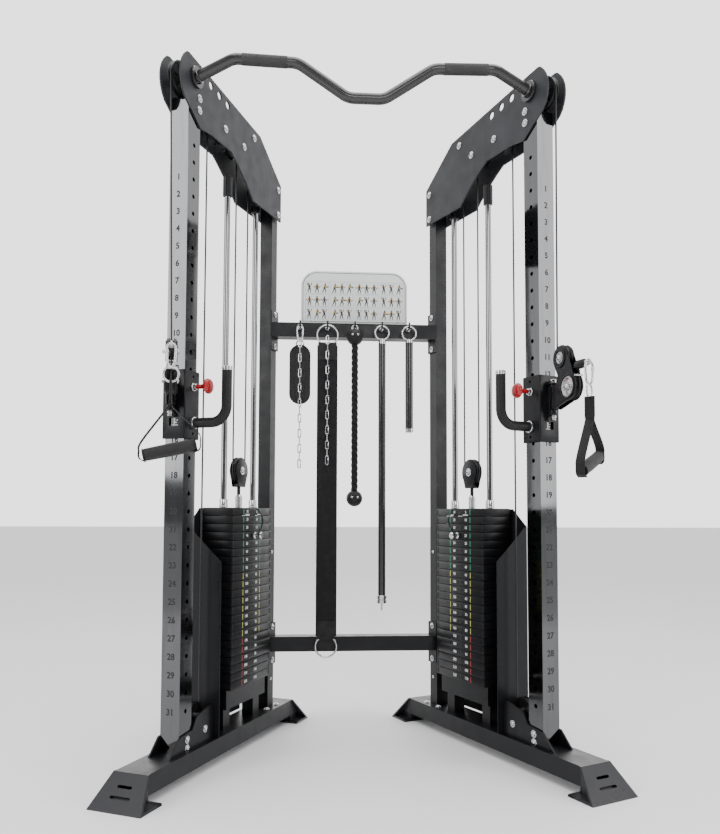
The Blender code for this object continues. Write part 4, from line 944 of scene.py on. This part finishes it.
def swivel(name):
    """Swivel head: barrel, cheek plates, axle bolts with bright discs, and the cable guard rods."""
    body = f"swivel_{name}"
    shape = Shape().rod((0, 0, 1.0205), (0, 0, 1.1035), 0.0098, edge=0.0008)
    shape.block((0.004, -0.0125, 1.030), (0.0235, 0.0125, 1.096), 0.0015)
    cheek = [(0.022, 1.028)] + arc(SWIVEL_LOW, 0.038, -95, 30, 24) + arc(SWIVEL_UP, 0.034, 10, 215, 36)
    cheek += [(0.046, 1.118), (0.036, 1.098), (0.022, 1.098)]
    for y in (-0.0112, 0.0112):
        shape.plate([cheek], 0.0032, Matrix.Translation((0, y, 0)) @ STAND_UP, 0.0008)
    for y in (-0.0145, 0.0145):
        for (x, z, _), radius, bore in ((SWIVEL_UP, 0.0285, 0.0175), (SWIVEL_LOW, 0.0335, 0.0290)):
            loop = arc((x, z), radius, 0, 354, 59)
            hole = arc((x, z), bore, 0, 350, 35)
            shape.plate([loop, hole], 0.0032, Matrix.Translation((0, y, 0)) @ STAND_UP, 0.0010)
    on_swivel(shape, "swivel_cheeks", name, BLACK, body, [f"swivel_bracket_{name}"], "black_powder")
    metal = Shape()
    for sign in (-1, 1):
        for (x, z, _), wide in ((SWIVEL_UP, 0.0172), (SWIVEL_LOW, 0.0287)):
            metal.turned([(0, 0), (wide, 0), (wide, 0.0010), (wide - 0.0012, 0.0017), (wide - 0.0040, 0.0017),
                          (wide - 0.0052, 0.0009), (0.0098, 0.0009), (0.0090, 0.0019), (0, 0.0019)],
                         pointing((x, sign * 0.0129, z), (0, sign, 0)), 48)
            metal.bolt((x, sign * 0.0146, z), (0, sign, 0), 0.0072, washer=True, dome=sign < 0)
    for x, z in ((0.088, 1.137), (0.128, 1.110)):
        metal.rod((x, -0.0125, z), (x, 0.0125, z), 0.0030)
    on_swivel(metal, "swivel_axles", name, ZINC, body)
    start = exit_height(name, 0.118)
    rim = arc(SWIVEL_LOW, 0.0405, 50, -20, 14)
    wire = [Vector((0.1235, 0, start - 0.010)), Vector((0.1330, 0, 1.1215))] + in_plane(rim[3:])
    on_swivel(Shape().tube(wire, 0.0022, 10), "guard_wire", name, BLACK, body)


def cable_end(name):
    """Rubber stopper, its bright ferrule and the eye that the hook hangs from."""
    near, far, eye = (Vector((x, 0, exit_height(name, x))) for x in (STOPPER[0], STOPPER[1] - 0.006, EYE_X))
    axis = far - near
    length = axis.length
    profile = [(0, 0), (0.0065, 0), (0.0105, 0.0035), (0.0122, 0.009), (0.0122, length - 0.010),
               (0.0108, length - 0.003), (0.0075, length), (0, length)]
    stopper = Shape().turned(profile, pointing(near, axis))
    on_swivel(stopper, "cable_stopper", name, RUBBER, f"swivel_{name}")
    metal = Shape().rod(far - axis.normalized() * 0.001, far + axis.normalized() * 0.008, 0.0070, edge=0.001)
    ring = [eye + Vector((x, 0, z)) for x, z in arc((-0.001, 0), 0.0068, 0, 345, 23)]
    metal.tube(ring, 0.0026, 12, closed=True)
    on_swivel(metal, "cable_eye", name, WIRE, f"swivel_{name}")


def strap_handle(name):
    """Snap hook, ring, folded webbing with a stitched box, and a foam grip between black end caps."""
    body = f"strap_handle_{name}"
    eye = Vector((EYE_X, 0, exit_height(name, EYE_X)))
    place = Matrix.Translation(eye)
    twist = place @ Matrix.Rotation(HANDLE_TWIST[name], 4, "Z")
    flank = [(0.0070, -0.0015), (0.0112, -0.0110), (0.0106, -0.030), (0.0090, -0.050), (0.0045, -0.0590)]
    outline = [(0, 0.0010)] + flank + [(0, -0.0605)] + [(-y, z) for y, z in reversed(flank)]
    hook = smooth_loop([(0, y, z) for y, z in outline])
    metal = Shape().tube([place @ p for p in hook], 0.0034, 14, closed=True)
    metal.rod(place @ Vector((0, 0.0112, -0.014)), place @ Vector((0, 0.0108, -0.024)), 0.0048, edge=0.001)
    ring = [twist @ Vector((0, x, z - 0.078)) for x, z in arc((0, 0), 0.0195, 0, 352, 43)]
    metal.tube(ring, 0.0028, 12, closed=True)
    on_swivel(metal, "snap_hook", name, WIRE, body, [f"strap_handle_{name}"], "black_webbing")
    spread, bottom, tilt = 0.058, -0.272, HANDLE_TILT[name]
    ends = {sign: Vector((0, sign * spread, bottom + sign * tilt)) for sign in (-1, 1)}
    straps = Shape()
    across = (twist.to_3x3() @ Vector((1, 0, 0)))
    for sign, end in ends.items():
        out = Vector((0, sign * 0.0185, 0))
        path = [Vector((0, sign * 0.0015, -0.094)), Vector((0, sign * 0.0017, -0.128)),
                Vector((0, sign * 0.0025, -0.150)), Vector((0, sign * 0.0070, -0.164)),
                end + out * 0.62 + Vector((0, 0, 0.034)),
                end + out * 0.98 + Vector((0, 0, 0.008)), end + out * 0.86 + Vector((0, 0, -0.010)),
                end + Vector((0, 0, -0.0180))]
        straps.strap([twist @ p for p in smooth_path(path)], 0.025, 0.0024, across)
    sewn = [twist @ Vector((0, 0, z)) for z in (-0.0935, -0.112, -0.130, -0.148)]
    straps.strap(sewn, 0.0285, 0.0062, across)
    on_swivel(straps, "handle_webbing", name, WEBBING, body)
    stitches = Shape()
    for depth in (-1, 1):
        for row in range(11):
            z = -0.100 - row * 0.0042
            for side_x in (-0.0105, 0.0105):
                stitches.block((side_x - 0.0004, depth * 0.0033 - 0.0003, z - 0.0014),
                               (side_x + 0.0004, depth * 0.0033 + 0.0003, z + 0.0014), 0, twist)
        for column in range(6):
            x = -0.0085 + column * 0.0034
            for z in (-0.0985, -0.1455):
                stitches.block((x - 0.0012, depth * 0.0033 - 0.0003, z - 0.0004),
                               (x + 0.0012, depth * 0.0033 + 0.0003, z + 0.0004), 0, twist)
    on_swivel(stitches, "handle_stitching", name, BINDING, body)
    along = (ends[1] - ends[-1]).normalized()
    low, high = ends[-1] - along * 0.004, ends[1] + along * 0.004
    length = (high - low).length
    swell = [(0, 0), (0.0140, 0), (0.0158, 0.0018)]
    swell += [(0.0158 + 0.0010 * math.sin(math.pi * i / 12), 0.0018 + (length - 0.0036) * i / 12)
              for i in range(1, 12)]
    swell += [(0.0158, length - 0.0018), (0.0140, length), (0, length)]
    grip = Shape().turned(swell, twist @ pointing(low, along), 44)
    piece = on_swivel(grip, "foam_grip", name, FOAM, body)
    caps = Shape()
    for start, direction in ((low, -along), (high, along)):
        caps.rod(twist @ start, twist @ (start + direction * 0.0045), 0.0168, edge=0.0012)
    on_swivel(caps, "grip_caps", name, RUBBER, body)


# ---------------------------------------------------------------- pieces between the towers
def tower_point(name, u, w, z):
    return TOWER[name] @ Vector((u, SIDES[name] * w, z))


def pullup_bar():
    """Gull-wing pull-up bar with its end flanges, their weld beads and two textured grips."""
    face = -PLATE_FACE - 0.0003
    ends = {name: tower_point(name, 0.262, face, 1.985) for name in SIDES}
    half = [(-0.378, -0.262, 2.024), (-0.196, -0.262, 2.019), (-0.052, -0.262, 1.922)]
    path = [ends["left"]] + half + [(-x, y, z) for x, y, z in reversed(half)] + [ends["right"]]
    shape = Shape().tube(rounded(path, 0.060, 16), 0.0158, 32)
    for name, end in ends.items():
        inner = tower_point(name, 0.262, face - 0.008, 1.985)
        shape.rod(end, inner, 0.0298, edge=0.0012, segments=48)
        lean = (Vector(half[0] if name == "left" else (-half[0][0], *half[0][1:])) - inner).normalized()
        bead = pointing(inner + lean * 0.0015, lean)
        ring = [bead @ Vector((x, y, 0)) for x, y in arc((0, 0), 0.0172, 0, 352, 44)]
        shape.tube(ring, 0.0026, 8, closed=True)
    shape.install("pullup_tube", BAR_STEEL, "frame", replaces=["pullup_bar"], slot="charcoal_powder")
    grips = Shape()
    for side in (-1, 1):
        near, far = (Vector((side * x, -0.262, 2.019 + 0.005 * (x - 0.196) / 0.182)) for x in (0.226, 0.355))
        grips.rod(near, far, 0.0166, edge=0.0007, segments=48)
    grips.install("pullup_grips", GRIP_TAPE, "frame")


# Poses of the placard's figures: chest's sideways place, then elbow and hand or knee and foot of each limb.
FIGURES = (
    (0.0, ((0.3, -0.1), (0.62, 0.15)), ((-0.3, -0.1), (-0.62, 0.15)),
     ((0.22, -0.62), (0.24, -1.0)), ((-0.22, -0.62), (-0.24, -1.0))),
    (0.1, ((0.42, 0.1), (0.75, 0.12)), ((0.38, 0.0), (0.72, 0.02)),
     ((0.25, -0.60), (0.18, -1.0)), ((-0.20, -0.62), (-0.40, -1.0))),
    (-0.1, ((0.28, 0.42), (0.35, 0.8)), ((-0.35, 0.42), (-0.42, 0.8)),
     ((0.12, -0.62), (0.2, -1.0)), ((-0.3, -0.62), (-0.25, -1.0))),
)


def flat_shape(shape, loop, low, high, matrix):
    """Thin plate from one convex outline."""
    rings = [[shape.work.verts.new(matrix @ Vector((x, y, z))) for x, y in loop] for z in (low, high)]
    shape.work.faces.new(list(reversed(rings[0])))
    shape.work.faces.new(rings[1])
    for i in range(len(loop)):
        j = (i + 1) % len(loop)
        shape.work.faces.new((rings[0][i], rings[0][j], rings[1][j], rings[1][i]))


def limb(shape, start, end, wide, matrix, depth):
    """Flat bar with round ends between two points of a pictogram."""
    a, b = Vector(start), Vector(end)
    lean = math.degrees(math.atan2(b.y - a.y, b.x - a.x))
    loop = arc(b, wide / 2, lean - 90, lean + 90, 7) + arc(a, wide * 0.62, lean + 90, lean + 270, 7)
    flat_shape(shape, loop, 0.0, depth, matrix)


def pictogram(ink, accent, centre, size, pose, matrix):
    """One exercise figure: head, torso, arms and legs, with the upper arms picked out."""
    chest, right_arm, left_arm, right_leg, left_leg = pose

    def at(p):
        return (centre[0] + p[0] * size, centre[1] + p[1] * size)

    hip = -0.22
    flat_shape(ink, arc(at((chest * 1.3, 0.62)), size * 0.145, 0, 340, 17), 0.0, 0.00030, matrix)
    limb(ink, at((chest, 0.40)), at((chest * 1.2, 0.52)), size * 0.12, matrix, 0.00034)
    torso = [at((chest - 0.24, 0.40)), at((-0.15, hip)), at((0.15, hip)), at((chest + 0.24, 0.40))]
    flat_shape(ink, torso, 0.0, 0.00038, matrix)
    for sign, arm in ((1, right_arm), (-1, left_arm)):
        joint = at((chest + sign * 0.23, 0.32))
        elbow, hand = at((arm[0][0] + sign * 0.05, arm[0][1])), at(arm[1])
        limb(accent, joint, elbow, size * 0.13, matrix, 0.00042)
        limb(ink, elbow, hand, size * 0.10, matrix, 0.00046)
    for sign, leg in ((1, right_leg), (-1, left_leg)):
        limb(ink, at((sign * 0.09, hip)), at(leg[0]), size * 0.17, matrix, 0.00050)
        limb(ink, at(leg[0]), at(leg[1]), size * 0.12, matrix, 0.00054)


def placard():
    """White exercise board with twelve framed groups of pictograms and no lettering."""
    half, low, high, corner = 0.186, 1.3944, 1.580, 0.055
    front = Matrix.Translation((0, BAR_Y - 0.016, 0)) @ STAND_UP

    def outline(margin):
        """Board's outline with two round top corners, drawn in by a margin."""
        reach, base = half - margin, low + margin
        return ([(-reach, base), (reach, base)]
                + arc((half - corner, high - corner), corner - margin, 0, 90, 16)
                + arc((corner - half, high - corner), corner - margin, 90, 180, 16))

    board = Shape().plate([outline(0)], 0.0030, front, 0.0005)
    board.install("placard_board", CARD, "frame", replaces=["placard"], slot="placard_print")
    face = front @ Matrix.Translation((0, 0, 0.0015))
    outer, centre = outline(0.0055), (low + high) / 2
    inner = [(x * (1 - 0.0022 / half), (z - centre) * (1 - 0.0048 / (high - low)) + centre) for x, z in outer]
    Shape().plate([outer, inner], 0.0006, face, 0.0001).install("placard_border", CARD_FRAME, "frame")
    lines, ink, accent = Shape(), Shape(), Shape()
    bottom, top = low + 0.012, high - 0.036
    wide, tall = (half - 0.012) / 2, (top - bottom) / 3
    reach, rise, line = wide / 2 - 0.0035, tall / 2 - 0.0020, 0.0004
    near, far = BAR_Y - 0.0179, BAR_Y - 0.0174
    order = random.Random(5)
    for row in range(3):
        for column in range(4):
            x, z = (column - 1.5) * wide, bottom + (row + 0.5) * tall
            for side in (-1, 1):
                level, edge = z + side * rise, x + side * reach
                lines.block((x - reach, near, level - line), (x + reach, far, level + line), 0)
                lines.block((edge - line, near, z - rise), (edge + line, far, z + rise), 0)
            for offset in (-0.026, 0.0, 0.026):
                pictogram(ink, accent, (x + offset, z + 0.001), tall * 0.41, order.choice(FIGURES), face)
    lines.install("placard_grid", CARD_LINE, "frame")
    ink.install("placard_figures", CARD_INK, "frame")
    accent.install("placard_muscles", CARD_YELLOW, "frame")
    clips = Shape()
    for x in (-0.150, 0.150):
        clips.block((x - 0.012, BAR_Y - 0.0142, 1.3945), (x + 0.012, BAR_Y - 0.006, 1.4120), 0.0008)
        clips.bolt((x, BAR_Y - 0.0176, 1.4040), (0, -1, 0), 0.0032, washer=False)
    clips.install("placard_clips", ZINC, "frame")


def crossbar_hooks():
    """Bright nuts where the hooks pass through the upper crossbar, and the end plugs of the hooks."""
    shape = Shape()
    face = BAR_Y - 0.025
    for i in range(5):
        x = (i - 2) * HOOK_SPACING
        shape.rod((x, face, HOOK_Z - 0.002), (x, face - 0.0035, HOOK_Z - 0.002), 0.0075, segments=6)
        shape.rod((x, face - 0.0035, HOOK_Z - 0.002), (x, face - 0.0050, HOOK_Z - 0.002), 0.0062, edge=0.0005)
    shape.install("hook_nuts", ZINC, "frame")


# ---------------------------------------------------------------- hanging accessories
RING_TOP = 0.0036
CUFF = (0.0352, -0.2705, -0.0680)   # half width, lowest and highest point of the ankle cuff


def hook_matrix(index):
    return Matrix.Translation(((index - 2) * HOOK_SPACING, HOOK_Y, HOOK_Z))


def hung_ring(shape, radius, wire=0.0030, y=0.0):
    """Wire ring that hangs on a hook."""
    ring = [(x, y, z) for x, z in arc((0, RING_TOP - radius), radius, 0, 350, 35)]
    return shape.tube(ring, wire, 12, closed=True)


def snap_hook(shape, top, bottom, half):
    """Pear-shaped snap hook with its gate sleeve."""
    height = top - bottom

    def at(share, drop):
        return (half * share, 0, top - drop * height)

    flank = [(0.72, 0.10), (1.0, 0.30), (0.86, 0.72), (0.50, 0.95)]
    loop = [at(0, 0)] + [at(*p) for p in flank] + [at(0, 1)]
    loop += [at(-share, drop) for share, drop in reversed(flank)]
    shape.tube(smooth_loop(loop), 0.0029, 12, closed=True)
    return shape.rod(at(0.98, 0.36), at(0.92, 0.58), 0.0041, edge=0.0008)


def stadium(half_width, low, high, inset, steps=18):
    """Outline with round ends, drawn in by an inset."""
    r = half_width - inset
    return (arc((0, low + half_width), r, 180, 360, steps) + arc((0, high - half_width), r, 0, 180, steps))


def cushion(shape, rings):
    """Close a stack of equal-length outlines, each given as points, into one padded form."""
    made = [[shape.work.verts.new(p) for p in ring] for ring in rings]
    for first, second in zip(made, made[1:]):
        for i in range(len(first)):
            j = (i + 1) % len(first)
            shape.work.faces.new((first[i], first[j], second[j], second[i]))
    shape.work.faces.new(list(reversed(made[0])))
    shape.work.faces.new(made[-1])
    return shape


def ankle_cuff():
    """Padded cuff folded flat, with bound edge, closing strap, ring, snap hook and chain."""
    place = hook_matrix(0)
    metal = snap_hook(Shape(), RING_TOP, -0.0555, 0.0098)
    ring = [(x, -0.0005, z) for x, z in arc((0, -0.0640), 0.0125, 0, 350, 35)]
    metal.tube(ring, 0.0024, 10, closed=True)
    metal.chain((0, -0.0085, -0.046), 17, 0.0330, 0.0125, 0.0018)
    metal.install("cuff_hook_and_chain", WIRE, "ankle_cuff", place, replaces=["ankle_cuff"],
                  slot="black_webbing")
    profile = [(0.0060, -0.0046), (0.0030, -0.0052), (0.0008, -0.0036), (0.0, -0.0015)]
    crown = [(0.022, -0.0062)] + profile
    rings = []
    for inset, depth in crown + [(i, -y) for i, y in reversed(crown)]:
        rings.append([(x, 0.0020 + depth, z) for x, z in stadium(*CUFF, inset)])
    pad = cushion(Shape(), rings).install("cuff_pad", PADDING, "ankle_cuff", place, angle=60)
    trim = Shape()
    for depth in (-0.0030, 0.0070):
        edge = [(x, depth, z) for x, z in stadium(*CUFF, 0.0012)]
        trim.tube(edge[:-1], 0.0021, 8, closed=True)
    closing = [(0, -0.0050, -0.082), (0, -0.0054, -0.15), (0, -0.0054, -0.21), (0, -0.0048, -0.252)]
    trim.strap(closing, 0.030, 0.0018, (1, 0, 0))
    trim.block((-0.0170, -0.0066, -0.205), (0.0170, -0.0050, -0.165), 0.0006)
    trim.install("cuff_trim", BINDING, "ankle_cuff", place)


def long_strap():
    """Long flat strap with a folded, stitched loop and ring at each end, and a chain down its front."""
    place = hook_matrix(1)
    path = [(0, 0.0006 * math.sin(i * 1.3), -0.068 - i * 0.01645) for i in range(61)]
    band = Shape().strap(path, 0.0700, 0.0022, (1, 0, 0))
    piece = band.install("strap_band", WEBBING, "long_strap", place, replaces=["long_strap"],
                         slot="black_webbing")
    ends = Shape()
    for z, sign in ((-0.0655, -1), (-1.0570, 1)):
        back = [(0.0026, 0.052), (0.0026, 0.010), (0.0045, -0.001), (0.0020, -0.0075)]
        fold = [(0, y, z + sign * rise) for y, rise in back + [(-y, rise) for y, rise in reversed(back)]]
        ends.strap(fold, 0.0640 if sign < 0 else 0.0600, 0.0020, (1, 0, 0))
    loops = ends.install("strap_end_loops", BINDING, "long_strap", place)
    rings = hung_ring(Shape(), 0.0355)
    lower = [(x, 0.0, z) for x, z in arc((0, -1.0895), 0.0355, 0, 350, 35)]
    rings.tube(lower, 0.0030, 12, closed=True)
    rings.chain((0, -0.0085, -0.034), 17, 0.0330, 0.0130, 0.0018)
    metal = rings.install("strap_rings_and_chain", WIRE, "long_strap", place)


def tricep_rope():
    """Three-strand rope between two rubber balls, each held by a pair of bright screws."""
    place = hook_matrix(2)
    top, bottom = -0.0560, -0.5730
    strands = Shape()
    lay, centre, strand = 0.062, 0.0059, 0.0061
    count = int((top - bottom) / 0.0040)
    for k in range(3):
        path = []
        for i in range(count + 1):
            z = top + (bottom - top) * i / count
            a = 2 * math.pi * ((top - z) / lay + k / 3)
            path.append((centre * math.cos(a), centre * math.sin(a), z))
        strands.tube(path, strand, 12)
    rope = strands.install("rope_strands", ROPE, "tricep_rope", place, replaces=["tricep_rope"],
                           slot="black_webbing", angle=80)
    balls = Shape()
    ball_sizes = ((-0.0370, 0.0285), (-0.5920, 0.0275))
    for z, radius in ball_sizes:
        profile = [(radius * math.cos(math.radians(a)), z + radius * math.sin(math.radians(a)))
                   for a in range(-90, 91, 9)]
        profile[0], profile[-1] = (0, z - radius), (0, z + radius)
        balls.turned(profile, Matrix(), 44)
    ends = balls.install("rope_balls", RUBBER, "tricep_rope", place)
    metal = Shape()
    for z, radius in ball_sizes:
        for x in (-0.0095, 0.0095):
            out = Vector((x, -math.sqrt(radius ** 2 - x ** 2 - 0.004 ** 2), 0.004))
            metal.bolt(Vector((0, 0, z)) + out * 0.985, out, 0.0042, washer=False)
    hung_ring(metal, 0.0100, 0.0028)
    screws = metal.install("rope_screws_and_ring", ZINC, "tricep_rope", place)
    path = [place @ Vector((0, 0, top + (bottom - top) * i / 40)) for i in range(41)]


def long_bar():
    """Straight bar with a hanging ring, bright top cap, rotating end sleeve and locating pin."""
    place = hook_matrix(3)
    Shape().rod((0, 0, -0.0560), (0, 0, -0.9210), 0.0127, edge=0.0010, segments=36).install(
        "long_bar_tube", GLOSS_BLACK, "long_bar", place, replaces=["long_bar"], slot="grip_rubber")
    metal = hung_ring(Shape(), 0.0240)
    cap = [(0, -0.0425), (0.0105, -0.0425), (0.0128, -0.0450), (0.0128, -0.0600), (0, -0.0600)]
    sleeve = [(0, -0.9190), (0.0160, -0.9190), (0.0170, -0.9200), (0.0170, -0.9300), (0.0155, -0.9310),
              (0.0155, -0.9340), (0.0170, -0.9350), (0.0170, -0.9448), (0.0160, -0.9458), (0, -0.9458)]
    metal.turned(cap, segments=36).turned(sleeve, segments=36)
    metal.rod((0, 0, -0.9440), (0, 0, -0.9700), 0.0030, edge=0.0006)
    metal.install("long_bar_metal", ZINC, "long_bar", place)


def short_bar():
    """Short bar with a hanging ring, enamelled sleeve and bright end caps."""
    place = hook_matrix(4)
    Shape().rod((0, 0, -0.0540), (0, 0, -0.3540), 0.0134, edge=0.0008, segments=36).install(
        "short_bar_sleeve", GLOSS_BLACK, "short_bar", place, replaces=["short_bar"], slot="grip_rubber")
    metal = hung_ring(Shape(), 0.0240)
    cap = [(0, -0.0425), (0.0110, -0.0425), (0.0132, -0.0450), (0.0132, -0.0560), (0, -0.0560)]
    foot = [(0, -0.3520), (0.0135, -0.3520), (0.0135, -0.3625), (0.0115, -0.3650), (0, -0.3650)]
    metal.turned(cap, segments=36).turned(foot, segments=36)
    metal.install("short_bar_metal", ZINC, "short_bar", place)


# ---------------------------------------------------------------- studio
def studio():
    """Pale floor, four soft lights, and a surround that is bright behind the object and dim in front."""
    floor_mesh = bpy.data.meshes.new("floor")
    size = 40.0
    corners = [(-size, -size, 0), (size, -size, 0), (size, size, 0), (-size, size, 0)]
    floor_mesh.from_pydata(corners, [], [(0, 1, 2, 3)])
    floor = bpy.data.objects.new("floor", floor_mesh)
    bpy.context.scene.collection.objects.link(floor)
    floor_finish = Finish("studio_floor", (0.82, 0.82, 0.83), 0.65).vary_roughness(3.0, 0.05)
    floor_finish.shader.inputs["Specular IOR Level"].default_value = 0.25
    floor_mesh.materials.append(floor_finish.material)

    def softbox(name, place, target, power, wide, high):
        data = bpy.data.lights.new(name, "AREA")
        data.shape = "RECTANGLE"
        data.size, data.size_y = wide, high
        data.energy = power
        lamp = bpy.data.objects.new(name, data)
        lamp.location = place
        lamp.rotation_euler = (Vector(target) - Vector(place)).to_track_quat("-Z", "Y").to_euler()
        bpy.context.scene.collection.objects.link(lamp)

    softbox("top_softbox", (0.2, -0.9, 4.3), (0, 0.1, 0.9), 95, 3.4, 2.6)
    softbox("left_softbox", (-3.1, -2.0, 2.3), (-0.1, 0, 0.9), 60, 1.2, 2.8)
    softbox("right_softbox", (3.2, -1.4, 2.1), (0.1, 0, 0.9), 48, 1.2, 2.8)
    softbox("front_softbox", (0.5, -4.2, 2.6), (0, 0, 1.0), 45, 2.0, 1.4)

    world = bpy.data.worlds.new("studio_world")
    bpy.context.scene.world = world
    world.use_nodes = True
    tree = world.node_tree
    tree.nodes.clear()
    output = tree.nodes.new("ShaderNodeOutputWorld")
    background = tree.nodes.new("ShaderNodeBackground")
    coordinates = tree.nodes.new("ShaderNodeTexCoord")
    split = tree.nodes.new("ShaderNodeSeparateXYZ")
    ramp = tree.nodes.new("ShaderNodeValToRGB")
    remap = tree.nodes.new("ShaderNodeMapRange")
    remap.inputs["From Min"].default_value = -1.0
    tree.links.new(coordinates.outputs["Generated"], split.inputs[0])
    tree.links.new(split.outputs["Y"], remap.inputs["Value"])
    tree.links.new(remap.outputs[0], ramp.inputs["Fac"])
    tree.links.new(ramp.outputs["Color"], background.inputs["Color"])
    tree.links.new(background.outputs[0], output.inputs["Surface"])
    ramp.color_ramp.elements[0].position = 0.20
    ramp.color_ramp.elements[0].color = (0.11, 0.112, 0.117, 1)
    ramp.color_ramp.elements[1].position = 0.85
    ramp.color_ramp.elements[1].color = (1.0, 1.0, 1.0, 1)
    background.inputs["Strength"].default_value = 2.4


def camera():
    data = bpy.data.cameras.new("camera")
    data.lens = 33.23
    data.sensor_width = 36.0
    data.shift_x = 0.0018
    data.shift_y = 0.0637
    data.clip_end = 60.0
    made = bpy.data.objects.new("camera", data)
    bpy.context.scene.collection.objects.link(made)
    turn = (Matrix.Rotation(math.radians(-3.957), 4, "Z") @ Matrix.Rotation(math.radians(3.241), 4, "X")
            @ Matrix.Rotation(math.radians(-0.182), 4, "Y"))
    made.matrix_world = (Matrix.Translation((-0.1669, -2.4029, 0.7320)) @ turn
                         @ Matrix.Rotation(math.radians(90), 4, "X"))
    bpy.context.scene.camera = made


# ---------------------------------------------------------------- assembly
camera()
studio()
dress_frame()
for tower_name in SIDES:
    bolts(tower_name)
    boom_spacers(tower_name)
    post_numbers(tower_name)
    guide_rods(tower_name)
    weights(tower_name)
    stack_labels(tower_name)
    selector_pin(tower_name)
    pulleys(tower_name)
    cable(tower_name)
    carriage(tower_name)
    pop_pin(tower_name)
    swivel(tower_name)
    cable_end(tower_name)
    strap_handle(tower_name)
pullup_bar()
placard()
crossbar_hooks()
ankle_cuff()
long_strap()
tricep_rope()
long_bar()
short_bar()

bpy.context.view_layer.update()
